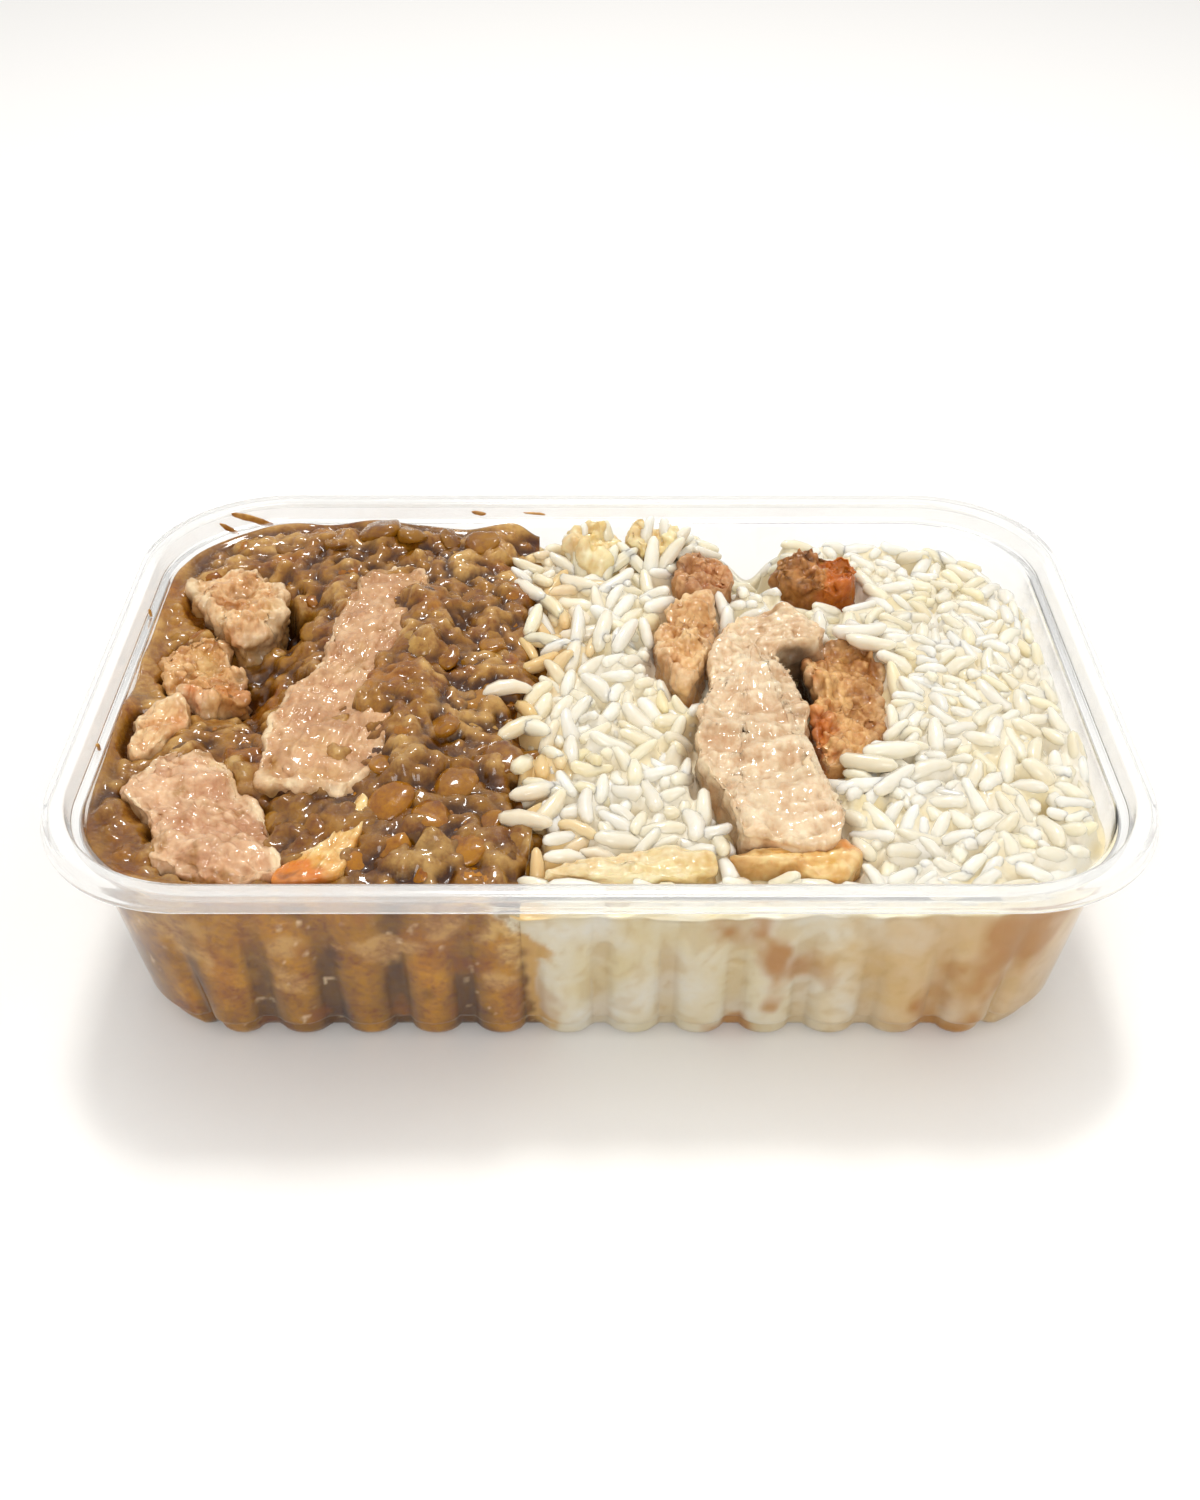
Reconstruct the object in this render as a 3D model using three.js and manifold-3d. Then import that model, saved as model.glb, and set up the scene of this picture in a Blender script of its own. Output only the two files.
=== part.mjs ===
// A packed meal in a clear rectangular takeaway tub: lentil curry and roast pork on the left, rice and
// more pork on the right.
// Units are millimetres, +Z up. The origin is the centre of the footprint on the table, +X runs along the
// tub's length towards the plain rice, and -Y faces the person eating.

import * as THREE from "three";
import { mergeVertices } from "three/addons/utils/BufferGeometryUtils.js";
import Module from "manifold-3d";

const wasm = await Module();
wasm.setup();

// ---------------------------------------------------------------- driving dimensions

const RIM = { length: 172, width: 118, radius: 25 };
const HEIGHT = 41;
const WALL = 0.8;
const GAP = 0.3; // between two foods, and between food and tub

// The tub narrows from the shoulder, which carries a stacked tub or a lid, to the foot.
const SHOULDER_Z = 37.2;
const SHOULDER_INSET = 4.7;
const FOOT_INSET = 10.8;
const FOOT_HEIGHT = 4.2;
const FOOT_STEP = 0.9;
const CORNER_SHRINK = 0.65; // how much the corner radius drops for each millimetre of inset

const FLUTE = { pitch: 10.6, lobeWidth: 7.7, valley: -1.6, crown: 0.6, fadeZ: 34 };
const LONG_SIDE_FLUTES = 12;
const SHORT_SIDE_FLUTES = 7;

const SKIRT_DROP = 3.1; // the rim's outer skirt
const SKIRT_FLARE = 0.5;
const LAND = 2.4; // flat width of the rim's top

// Plan of the line where the curry meets the rice.
const BORDER_X = -12;
const BORDER_WAVE = 2.2;

// ---------------------------------------------------------------- the tub's outline

const DEGREE = Math.PI / 180;
const SIDES = 4;

// How far the wall is inset from the rim at a height, without foot or shoulder.
function wallInset(z) {
  return FOOT_INSET - ((FOOT_INSET - SHOULDER_INSET) * z) / SHOULDER_Z;
}

// The flutes' relief at a distance s from a side's middle: flat valleys with a round lobe between them.
function fluteRelief(s, count) {
  const across = Math.abs(s) / FLUTE.pitch;
  if (across > count / 2) return 0;
  const fromLobe = (across + (count % 2 ? 0 : 0.5)) % 1;
  const offCentre = Math.min(fromLobe, 1 - fromLobe) * FLUTE.pitch;
  const half = FLUTE.lobeWidth / 2;
  const lobe = Math.sqrt(Math.max(0, 1 - (offCentre / half) ** 2));
  return FLUTE.valley + (FLUTE.crown - FLUTE.valley) * lobe;
}

// A side's straight run, from its middle to where the corner starts, and the corner's radius.
function sideMeasures(side, inset) {
  const long = side % 2 === 0;
  const halfRun = (long ? RIM.length : RIM.width) / 2 - inset;
  const halfOut = (long ? RIM.width : RIM.length) / 2 - inset;
  const radius = RIM.radius - CORNER_SHRINK * inset;
  return { straight: halfRun - radius, radius, halfOut };
}

// A point of the rounded rectangle at a distance from its side's middle, or at an angle round its corner.
function outlinePoint({ side, distance, angle = 0 }, inset) {
  const { straight, radius, halfOut } = sideMeasures(side, inset);
  const past = Math.max(0, Math.abs(distance ?? 0) - straight) / radius;
  const round = distance === undefined ? angle : Math.sign(distance) * past;
  const corner = distance === undefined || past > 0;
  const end = Math.sign(distance ?? angle) * straight;
  const along = corner ? end + radius * Math.sin(round) : distance;
  const out = halfOut - radius + radius * Math.cos(round);
  const middle = new THREE.Vector2();
  const turn = (side * Math.PI) / 2;
  return {
    point: new THREE.Vector2(along, -out).rotateAround(middle, turn),
    normal: new THREE.Vector2(Math.sin(round), -Math.cos(round)).rotateAround(middle, turn),
  };
}

// Where a level has points: round the corners, and on each flute at breaks given in millimetres from the
// flute's middle. around is how far round the foot each point lies, so that all levels can be matched up.
function stations(breaks, cornerDegrees) {
  const list = [];
  for (let side = 0; side < SIDES; side++) {
    const count = side % 2 ? SHORT_SIDE_FLUTES : LONG_SIDE_FLUTES;
    const { straight, radius } = sideMeasures(side, FOOT_INSET);
    const halfLength = straight + (radius * Math.PI) / 4;
    const add = (station, arc) => list.push({ side, ...station, around: side + 0.5 + arc / halfLength / 2 });
    const addCorner = (sign) => (degrees) => {
      const angle = degrees * DEGREE;
      add({ angle: sign * Math.max(angle, 1e-9) }, sign * (straight + radius * angle));
    };
    cornerDegrees.forEach(addCorner(-1));
    for (let i = 0; i < count; i++) {
      for (const offset of breaks) {
        const distance = (i - (count - 1) / 2) * FLUTE.pitch + offset;
        add({ distance, relief: fluteRelief(distance, count) }, distance);
      }
    }
    cornerDegrees.slice(1).reverse().forEach(addCorner(1));
  }
  return list;
}
const FLUTED = stations([-0.49, -0.3, 0.3, 0.49].map((part) => part * FLUTE.lobeWidth), [45, 30]);
const PLAIN = stations([], [45, 30, 15, 0]);

// One level of the tub, as points and how far round the foot each one lies.
function ring({ z, inset, at = PLAIN, faded = false }) {
  const points = at.map((station) => {
    const { point, normal } = outlinePoint(station, inset);
    if (!faded) point.addScaledVector(normal, station.relief ?? 0);
    return new THREE.Vector3(point.x, point.y, z);
  });
  return { points, around: at.map((station) => station.around) };
}

// ---------------------------------------------------------------- closed meshes

// A closed surface through rings of any point counts, with a fan at each end.
function loft(rings) {
  const positions = [];
  const faces = [];
  const push = (p) => positions.push(p.x, p.y, p.z) / 3 - 1;
  const centre = (r) => new THREE.Vector3(0, 0, r.points[0].z);
  const indexed = rings.map((r) => ({ ...r, index: r.points.map(push) }));
  for (let k = 0; k + 1 < indexed.length; k++) {
    const [a, b] = [indexed[k], indexed[k + 1]];
    const upward = a.points[0].z < b.points[0].z; // a wall's two faces then get the same diagonals
    let [i, j] = [0, 0];
    while (i < a.index.length || j < b.index.length) {
      const nextA = i < a.index.length ? (a.around[i + 1] ?? SIDES) : Infinity;
      const nextB = j < b.index.length ? (b.around[j + 1] ?? SIDES) : Infinity;
      const [ia, jb] = [a.index[i % a.index.length], b.index[j % b.index.length]];
      if (nextA < nextB || (nextA === nextB && upward)) faces.push(ia, a.index[++i % a.index.length], jb);
      else faces.push(ia, b.index[++j % b.index.length], jb);
    }
  }
  for (const [end, flip] of [[indexed[0], true], [indexed.at(-1), false]]) {
    const middle = push(centre(end));
    end.index.forEach((v, i) => {
      const w = end.index[(i + 1) % end.index.length];
      faces.push(middle, ...(flip ? [w, v] : [v, w]));
    });
  }
  const geometry = new THREE.BufferGeometry();
  geometry.setAttribute("position", new THREE.Float32BufferAttribute(positions, 3));
  geometry.setIndex(faces);
  return geometry;
}

function toSolid(geometry) {
  const bare = geometry.clone();
  for (const name of Object.keys(bare.attributes)) if (name !== "position") bare.deleteAttribute(name);
  const merged = mergeVertices(bare, 1e-4);
  return new wasm.Manifold(
    new wasm.Mesh({
      numProp: 3,
      vertProperties: new Float32Array(merged.attributes.position.array),
      triVerts: new Uint32Array(merged.index.array),
    }),
  );
}

function toGeometry(solid) {
  const mesh = solid.getMesh();
  const positions = new Float32Array(mesh.numVert * 3);
  for (let i = 0; i < mesh.numVert; i++) {
    positions.set(mesh.vertProperties.subarray(i * mesh.numProp, i * mesh.numProp + 3), i * 3);
  }
  const geometry = new THREE.BufferGeometry();
  geometry.setAttribute("position", new THREE.BufferAttribute(positions, 3));
  geometry.setIndex(new THREE.BufferAttribute(new Uint32Array(mesh.triVerts), 1));
  geometry.computeVertexNormals();
  return geometry;
}

// Cuts can strand crumbs of a bed beside the wall, so only its largest body is kept.
function largestBody(solid) {
  return solid.decompose().reduce((best, body) => (body.volume() > best.volume() ? body : best));
}

// ---------------------------------------------------------------- the tub and the space inside it

function tubLevels() {
  const skirtZ = HEIGHT - SKIRT_DROP;
  const innerFoot = FOOT_HEIGHT + WALL;
  const landInset = 0.5 + LAND;
  return [
    { z: 0, inset: wallInset(0) + FOOT_STEP + 0.8, at: FLUTED },
    { z: FOOT_HEIGHT, inset: wallInset(FOOT_HEIGHT) + FOOT_STEP, at: FLUTED },
    { z: FOOT_HEIGHT + 0.7, inset: wallInset(FOOT_HEIGHT + 0.7), at: FLUTED },
    { z: FLUTE.fadeZ, inset: wallInset(FLUTE.fadeZ), at: FLUTED, faded: true },
    { z: SHOULDER_Z - 0.8, inset: wallInset(SHOULDER_Z - 0.8) },
    { z: SHOULDER_Z - 0.3, inset: landInset + 0.1 },
    { z: HEIGHT - WALL, inset: landInset - 0.3 },
    { z: HEIGHT - WALL, inset: WALL + 0.2 },
    { z: skirtZ, inset: WALL - SKIRT_FLARE },
    { z: skirtZ, inset: -SKIRT_FLARE },
    { z: skirtZ + 0.8, inset: -SKIRT_FLARE * 0.8 },
    { z: skirtZ + 1, inset: 0 },
    { z: HEIGHT - 0.4, inset: 0.1 },
    { z: HEIGHT, inset: 0.5 },
    { z: HEIGHT, inset: landInset },
    { z: HEIGHT - 0.4, inset: landInset + 0.4 },
    { z: SHOULDER_Z + 0.4, inset: landInset + 0.9 },
    { z: SHOULDER_Z, inset: wallInset(SHOULDER_Z) + WALL },
    { z: FLUTE.fadeZ, inset: wallInset(FLUTE.fadeZ) + WALL, at: FLUTED, faded: true },
    { z: innerFoot, inset: wallInset(innerFoot) + WALL, at: FLUTED },
    { z: WALL, inset: wallInset(0) + FOOT_STEP + WALL + 1, at: FLUTED },
  ];
}

// Everything inside the tub, clear of its floor and of the flutes' valleys, up past the rim. Half a gap is
// added for the chords between the outline's points.
function insideLevels() {
  const innerFoot = FOOT_HEIGHT + WALL;
  const clear = WALL + 1.5 * GAP;
  const valley = -FLUTE.valley;
  return [
    { z: clear, inset: wallInset(0) + FOOT_STEP + clear + valley + 1 },
    { z: innerFoot + GAP, inset: wallInset(innerFoot) + clear + valley },
    { z: FLUTE.fadeZ, inset: wallInset(FLUTE.fadeZ) + clear },
    { z: HEIGHT + 5, inset: wallInset(SHOULDER_Z) + clear },
  ];
}

// ---------------------------------------------------------------- the beds of curry and rice

// A soft rise or hollow in a bed's surface.
function mound({ at, reach, rise }, x, y) {
  const r2 = ((x - at[0]) / reach[0]) ** 2 + ((y - at[1]) / reach[1]) ** 2;
  return rise * Math.exp(-r2);
}

// Small uneven lumps, as tall as size.
function lumps(x, y, size) {
  return size * (Math.sin(x * 0.55 + 1.3 * Math.sin(y * 0.31)) * Math.sin(y * 0.47 + x * 0.13));
}

const CURRY = {
  level: 36.2,
  lumpSize: 0.5,
  mounds: [
    { at: [-60, 2], reach: [7, 14], rise: -6 }, // hollow between the left pieces and the long slab
    { at: [-58, 27], reach: [3.5, 6], rise: -8 }, // gap beside the back piece
    { at: [-56, 50], reach: [14, 6], rise: 1 },
    { at: [-40, 48], reach: [8, 5], rise: 1.2 },
    { at: [-22, -10], reach: [12, 30], rise: -0.6 },
  ],
};
const RICE = {
  level: 34.9,
  lumpSize: 0.7,
  mounds: [
    { at: [29.5, 46], reach: [4.5, 8], rise: -17 }, // bare stretch of the back wall
    { at: [33, 3], reach: [3.5, 8], rise: -9 }, // hollow under the slice's hook
    { at: [62, -4], reach: [16, 30], rise: 1.7 },
    { at: [0, -20], reach: [10, 20], rise: 0.8 },
    { at: [66, 46], reach: [22, 24], rise: -3 }, // the heap falls away towards the back right corner
    { at: [-4, 44], reach: [8, 8], rise: -2 },
  ],
};

function surfaceZ({ level, lumpSize, mounds }, x, y) {
  return level + lumps(x, y, lumpSize) + mounds.reduce((sum, m) => sum + mound(m, x, y), 0);
}

function borderX(y) {
  return BORDER_X + BORDER_WAVE * Math.sin(y / 9) + 0.6 * BORDER_WAVE * Math.sin(y / 3.7);
}

// A block whose top follows the bed's surface, between two x limits that may vary with y.
function bedBlock(bed, lowX, highX, columns, rows) {
  const reachY = RIM.width / 2;
  const grid = (i, j) => {
    const y = -reachY + (2 * reachY * j) / rows;
    const x = lowX(y) + ((highX(y) - lowX(y)) * i) / columns;
    return [x, y];
  };
  const positions = [];
  for (const top of [false, true]) {
    for (let j = 0; j <= rows; j++) {
      for (let i = 0; i <= columns; i++) {
        const [x, y] = grid(i, j);
        positions.push(x, y, top ? surfaceZ(bed, x, y) : -1);
      }
    }
  }
  const layer = (columns + 1) * (rows + 1);
  const at = (i, j, top) => top * layer + j * (columns + 1) + i;
  const faces = [];
  const quad = (a, b, c, d) => faces.push(a, b, c, a, c, d);
  for (let j = 0; j < rows; j++) {
    for (let i = 0; i < columns; i++) {
      quad(at(i, j, 1), at(i + 1, j, 1), at(i + 1, j + 1, 1), at(i, j + 1, 1));
      quad(at(i, j, 0), at(i, j + 1, 0), at(i + 1, j + 1, 0), at(i + 1, j, 0));
    }
  }
  for (let i = 0; i < columns; i++) {
    quad(at(i, 0, 0), at(i + 1, 0, 0), at(i + 1, 0, 1), at(i, 0, 1));
    quad(at(i + 1, rows, 0), at(i, rows, 0), at(i, rows, 1), at(i + 1, rows, 1));
  }
  for (let j = 0; j < rows; j++) {
    quad(at(0, j + 1, 0), at(0, j, 0), at(0, j, 1), at(0, j + 1, 1));
    quad(at(columns, j, 0), at(columns, j + 1, 0), at(columns, j + 1, 1), at(columns, j, 1));
  }
  const geometry = new THREE.BufferGeometry();
  geometry.setAttribute("position", new THREE.Float32BufferAttribute(positions, 3));
  geometry.setIndex(faces);
  return toSolid(geometry);
}

// ---------------------------------------------------------------- the pieces that lie in the beds

// Each piece: a plan outline through a few corners, its bottom and top, the rounding of its edges, and how
// its top slopes in x and y. They are listed from the one that keeps its whole shape to the ones cut by it.
const ROAST = { color: 0xd9b493, roughness: 0.55 };
const BROWNED = { color: 0xa9714a, roughness: 0.5 };
const FAT = { color: 0xe2c288, roughness: 0.4 };
const PALE = { color: 0xe9e6c0, roughness: 0.4 };

const PIECES = [
  {
    name: "pork_slab",
    look: ROAST,
    outline: [[-55, -28], [-55, -10], [-52, 8], [-51.5, 24], [-46, 34], [-33, 36], [-31, 14], [-33, -12], [-38, -29], [-48, -33]],
    z: [30.5, 39.4],
    edge: 1.6,
    slope: [-0.05, 0.006],
  },
  {
    name: "pork_left_back",
    look: ROAST,
    outline: [[-76, 24], [-75, 33], [-67, 37], [-60, 33], [-57, 26], [-58, 16], [-64, 12], [-70, 17]],
    z: [29, 39.2],
    edge: 1.6,
    slope: [0.03, 0.02],
  },
  {
    name: "pork_left_sliver",
    look: ROAST,
    outline: [[-79, -9], [-74.5, -5.5], [-70, -7], [-70.5, -14], [-74.5, -21], [-78.6, -18]],
    z: [31.5, 37.8],
    edge: 1.1,
    slope: [0, 0.02],
  },
  {
    name: "pork_left_middle",
    look: ROAST,
    outline: [[-77, 3], [-76, 14], [-70, 16], [-63, 9], [-61, 0], [-65, -7], [-72, -4]],
    z: [29, 36.8],
    edge: 1.6,
    slope: [-0.08, 0.03],
  },
  {
    name: "pork_left_front",
    look: ROAST,
    outline: [[-77, -29], [-73, -22], [-66, -18.5], [-57, -28], [-51, -38], [-50, -49], [-60, -50.5], [-68, -47], [-71, -38]],
    z: [29.5, 38.2],
    edge: 1.6,
    slope: [-0.04, 0.03],
  },
  {
    name: "fat_strip_left",
    look: FAT,
    outline: [
      [-37.5, -31], [-36, -36], [-37.5, -44], [-39.5, -50],
      [-48, -51], [-48.6, -47.5], [-43, -42], [-39.5, -36],
    ],
    z: [31, 37.4],
    edge: 0.7,
    slope: [0.05, 0.03],
  },
  {
    name: "pork_slice_right",
    look: ROAST,
    outline: [
      [15.5, -21], [18, -6], [20, 8], [25, 17.5], [35, 18], [40.5, 13], [38, 8.5], [32, 7.5],
      [30.5, 3], [34.5, -9], [33, -26], [37.5, -36], [36, -42.5], [23, -42.5], [20, -34],
    ],
    z: [31.5, 39.6],
    edge: 1.3,
    slope: [0.01, 0.014],
  },
  {
    name: "crust_strip_front",
    look: FAT,
    outline: [[19.5, -45], [27, -43.4], [38.5, -43.2], [38.8, -48], [35, -50.3], [30, -48.8]],
    z: [30, 37.3],
    edge: 1,
    slope: [0, 0],
  },
  {
    name: "pale_strip_front",
    look: PALE,
    outline: [[-8, -48.6], [-3, -45.4], [6, -43.8], [15, -44.2], [18.4, -46.5], [15, -49.4], [3, -49.9]],
    z: [31.5, 36.9],
    edge: 1.2,
    slope: [0, 0],
  },
  {
    name: "pork_crusted_back",
    look: BROWNED,
    outline: [[33, 33], [34.5, 39.5], [40, 41], [47.5, 39.5], [49.5, 33], [47, 29], [40, 28]],
    z: [20, 39.6],
    edge: 1.4,
    slope: [0.03, 0.05],
  },
  {
    name: "pork_crusted_right",
    look: BROWNED,
    outline: [[36.5, 10], [42, 14.5], [49, 12], [50.5, 2], [47, -12], [42, -21], [36.5, -24], [36, -8]],
    z: [20, 36.2],
    edge: 1.6,
    slope: [-0.05, 0.02],
  },
  {
    name: "pork_middle_front",
    look: ROAST,
    outline: [[10, 10], [12, 24], [17, 28], [22, 24], [20, 10], [17, -1], [13.5, -2]],
    z: [20, 37.8],
    edge: 1.6,
    slope: [0.05, 0.01],
  },
  {
    name: "pork_middle_back",
    look: BROWNED,
    outline: [[13.5, 33], [16, 42], [20, 44.5], [24, 41], [25.5, 33], [21, 29.2], [16, 30]],
    z: [20, 37.4],
    edge: 1.5,
    slope: [0, 0],
  },
  {
    name: "pale_chunk_left",
    look: PALE,
    outline: [[-7, 44], [-4, 49.8], [2, 50], [4.5, 45], [2, 40], [-4, 39.5]],
    z: [20, 40.4],
    edge: 1.5,
    slope: [0, 0],
  },
  {
    name: "pale_chunk_right",
    look: PALE,
    outline: [[5.5, 44], [7, 49.5], [13, 50.2], [16, 47.5], [13, 42.5], [8, 40.5]],
    z: [20, 39.8],
    edge: 1.5,
    slope: [0.08, 0],
  },
];

// Rounded slab over a plan outline. grow makes it that much larger all over, to cut its own seat in a bed.
function slab({ outline, z, edge, slope }, grow = 0) {
  const corners = outline.map(([x, y]) => new THREE.Vector3(x, y, 0));
  const curve = new THREE.CatmullRomCurve3(corners, true, "centripetal");
  const plan = curve.getPoints(2 * corners.length).slice(0, -1);
  const shape = new THREE.Shape(plan.map((p) => new THREE.Vector2(p.x, p.y)));
  const height = z[1] - z[0] + 2 * grow;
  const geometry = new THREE.ExtrudeGeometry(shape, {
    depth: height - 2 * edge,
    bevelThickness: edge,
    bevelSize: edge,
    bevelOffset: grow - edge,
    bevelSegments: 2,
    steps: 1,
  });
  geometry.translate(0, 0, z[0] - grow + edge);
  geometry.computeBoundingBox();
  const middle = geometry.boundingBox.getCenter(new THREE.Vector3());
  const position = geometry.attributes.position;
  for (let i = 0; i < position.count; i++) {
    const lean = slope[0] * (position.getX(i) - middle.x) + slope[1] * (position.getY(i) - middle.y);
    position.setZ(i, position.getZ(i) + lean);
  }
  return toSolid(geometry);
}

// ---------------------------------------------------------------- the scene graph

const meal = new THREE.Group();

function addNode(name, solid, look) {
  const material = new THREE.MeshStandardMaterial({ metalness: 0, ...look });
  const mesh = new THREE.Mesh(toGeometry(solid), material);
  mesh.name = name;
  meal.add(mesh);
}

const tub = toSolid(loft(tubLevels().map(ring)));
addNode("container", tub, { color: 0xf4f6f6, roughness: 0.08, transparent: true, opacity: 0.3 });

const inside = toSolid(loft(insideLevels().map(ring)));
const cutters = [];
for (const piece of PIECES) {
  const cut = cutters.reduce((solid, cutter) => solid.subtract(cutter), slab(piece).intersect(inside));
  addNode(piece.name, largestBody(cut), piece.look);
  cutters.push(slab(piece, GAP));
}

const reach = RIM.length / 2;
const beds = [
  ["curry", CURRY, () => -reach, (y) => borderX(y) - GAP / 2, 14, 20, { color: 0x8a6a3c, roughness: 0.3 }],
  ["rice", RICE, (y) => borderX(y) + GAP / 2, () => reach, 19, 20, { color: 0xefecd8, roughness: 0.4 }],
];
for (const [name, bed, lowX, highX, columns, rows, look] of beds) {
  const block = bedBlock(bed, lowX, highX, columns, rows).intersect(inside);
  addNode(name, largestBody(cutters.reduce((solid, cutter) => solid.subtract(cutter), block)), look);
}

export default meal;
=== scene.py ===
"""A packed meal in a clear ribbed tub: lentil curry and roast pork beside white rice.

Laid out as a Blender add-on and run as a script. Shapes are worked out in millimetres, +Z up, with the
origin at the centre of the tub's footprint, and become metres as they are put into a mesh.
"""

import functools
import math

import bpy
import numpy as np
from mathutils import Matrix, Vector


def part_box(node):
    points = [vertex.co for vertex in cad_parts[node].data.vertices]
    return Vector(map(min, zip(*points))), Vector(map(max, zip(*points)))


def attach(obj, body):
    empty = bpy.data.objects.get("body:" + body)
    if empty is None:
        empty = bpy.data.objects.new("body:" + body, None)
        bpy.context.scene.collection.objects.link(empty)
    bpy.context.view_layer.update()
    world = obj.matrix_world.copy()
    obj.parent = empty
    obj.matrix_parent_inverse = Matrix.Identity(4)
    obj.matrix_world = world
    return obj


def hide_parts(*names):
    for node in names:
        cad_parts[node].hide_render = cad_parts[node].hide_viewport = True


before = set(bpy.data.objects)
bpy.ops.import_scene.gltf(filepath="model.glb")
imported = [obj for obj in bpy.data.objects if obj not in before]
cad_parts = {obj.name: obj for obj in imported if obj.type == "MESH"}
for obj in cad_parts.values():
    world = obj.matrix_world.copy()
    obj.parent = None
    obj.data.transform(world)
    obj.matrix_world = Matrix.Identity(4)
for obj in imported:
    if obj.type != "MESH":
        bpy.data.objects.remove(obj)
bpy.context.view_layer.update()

bl_info = {
    "name": "Packed Curry Meal",
    "version": (1, 0, 0),
    "blender": (4, 5, 0),
    "location": "3D View > Sidebar > Meal",
    "description": "Builds a clear takeaway tub filled with lentil curry, roast pork and rice",
    "category": "Add Mesh",
}

# ---------------------------------------------------------------- sizes taken from the frame

MM = 0.001
BODY = "root"
SEED = 20
WHOLE_TURN = 6.28
GRAIN_POWER = 2.6  # how blunt a grain of rice is: the power of the distance along it

TUB_TOP = np.array(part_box("container")[1]) / MM
SKIRT_FLARE = 0.5  # how far the skirt's lip stands out past the rim
RIM = TUB_TOP[:2] - SKIRT_FLARE  # half length and half width of the rim's top
HEIGHT = TUB_TOP[2]

RIM_RADIUS = 25.0
CORNER_SHRINK = 0.65  # how much the corner radius drops for each millimetre of inset
SHOULDER_Z = HEIGHT - 3.8
SHOULDER_INSET = 4.7
FOOT_INSET = 10.8
FOOT_HEIGHT = 4.2
FOOT_STEP = 0.9
BASE_Z = 0.35  # the underside of the raised base
FLUTE_PITCH = 10.6
LONG_FLUTES = 12
SHORT_FLUTES = 7
FADE_Z = 34.0  # where the flutes have faded out
LAND_INSET = 2.9  # the inner edge of the rim's flat top
FOOD_INSET = 6.0  # about where the food's top meets the wall

BORDER_X = -12.0  # where the curry meets the rice


def node_box(name):
    """Lowest and highest corner of a CAD node, in millimetres."""
    low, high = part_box(name)
    return np.array(low) / MM, np.array(high) / MM


# ---------------------------------------------------------------- numbers, noise and height maps


def smooth(t):
    """Three t squared minus two t cubed, with t held between 0 and 1."""
    t = np.clip(t, 0, 1)
    return t * t * (3 - 2 * t)


def lattice_value(cell, seed):
    """A fixed pseudo-random number from -1 to 1 for each whole-number lattice point."""
    n = cell[..., 0] * 73856093 ^ cell[..., 1] * 19349663 ^ cell[..., 2] * 83492791 ^ seed * 2654435761
    n = (n ^ (n >> 13)) * 1274126177
    return ((n ^ (n >> 16)) & 0xFFFF) / 32767.5 - 1


def noise(points, size, seed):
    """Value noise: lattice numbers one cell of the given size apart, blended by a smooth step each way."""
    scaled = np.asarray(points, float) / size
    cell = np.floor(scaled).astype(np.int64)
    t = smooth(scaled - cell)
    total = 0.0
    for corner in np.ndindex(2, 2, 2):
        weight = np.prod(np.where(corner, t, 1 - t), axis=-1)
        total = total + weight * lattice_value(cell + np.array(corner), seed)
    return total


def fractal(points, size, seed, octaves=4):
    """A sum of noises, each half as large and half as strong as the one before."""
    return sum(noise(points, size / 2**k, seed + 17 * k) / 2**k for k in range(octaves)) / 1.6


def stack(x, y, z=0.0):
    """Points from their coordinates."""
    return np.stack(np.broadcast_arrays(x, y, z), axis=-1).astype(float)


def mounds(x, y, hills):
    """The sum of round hills: each one's rise times e to the minus of its squared distance over reach."""
    total = np.zeros(np.broadcast(x, y).shape)
    for (at_x, at_y), (reach_x, reach_y), rise in hills:
        total += rise * np.exp(-(((x - at_x) / reach_x) ** 2) - ((y - at_y) / reach_y) ** 2)
    return total


class HeightMap:
    """Heights at the cells of a square grid over a rectangle."""

    def __init__(self, low, high, cell):
        """A grid from one corner to another, with its cells' places, and heights of 0."""
        self.low, self.cell = np.array(low, float), cell
        self.shape = tuple(int(math.ceil((b - a) / cell)) + 1 for a, b in zip(low, high))
        axes = [self.low[k] + cell * np.arange(self.shape[k]) for k in (0, 1)]
        self.x, self.y = np.meshgrid(*axes, indexing="ij")
        self.z = np.zeros(self.shape)

    def index(self, x, y):
        """The nearest cell's row and column: the distance from the corner over the cell size, rounded."""
        i = np.clip(np.rint((x - self.low[0]) / self.cell).astype(int), 0, self.shape[0] - 1)
        j = np.clip(np.rint((y - self.low[1]) / self.cell).astype(int), 0, self.shape[1] - 1)
        return i, j

    def nearest(self, x, y):
        """The height of the nearest cell."""
        return self.z[self.index(x, y)]

    def near(self, x, y, reach):
        """The cells within reach of a point, as index slices, and their distances from it along x and y."""
        i, j = self.index(np.array([x - reach, x + reach]), np.array([y - reach, y + reach]))
        cells = slice(i[0], i[1] + 1), slice(j[0], j[1] + 1)
        return cells, self.x[cells] - x, self.y[cells] - y

    def raise_to(self, cells, heights, body):
        """Sets cells to the larger of their height and the one given, where the body is over 0."""
        self.z[cells] = np.where(body > 0, np.maximum(self.z[cells], heights), self.z[cells])

    def between(self, x, y, values=None):
        """Heights, or other values on the grid, blended between the four nearest cells."""
        values = self.z if values is None else values
        u = np.clip((x - self.low[0]) / self.cell, 0, self.shape[0] - 1.001)
        v = np.clip((y - self.low[1]) / self.cell, 0, self.shape[1] - 1.001)
        i, j = u.astype(int), v.astype(int)
        u, v = u - i, v - j
        near = values[i, j] * (1 - v) + values[i, j + 1] * v
        far = values[i + 1, j] * (1 - v) + values[i + 1, j + 1] * v
        return near * (1 - u) + far * u


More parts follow.
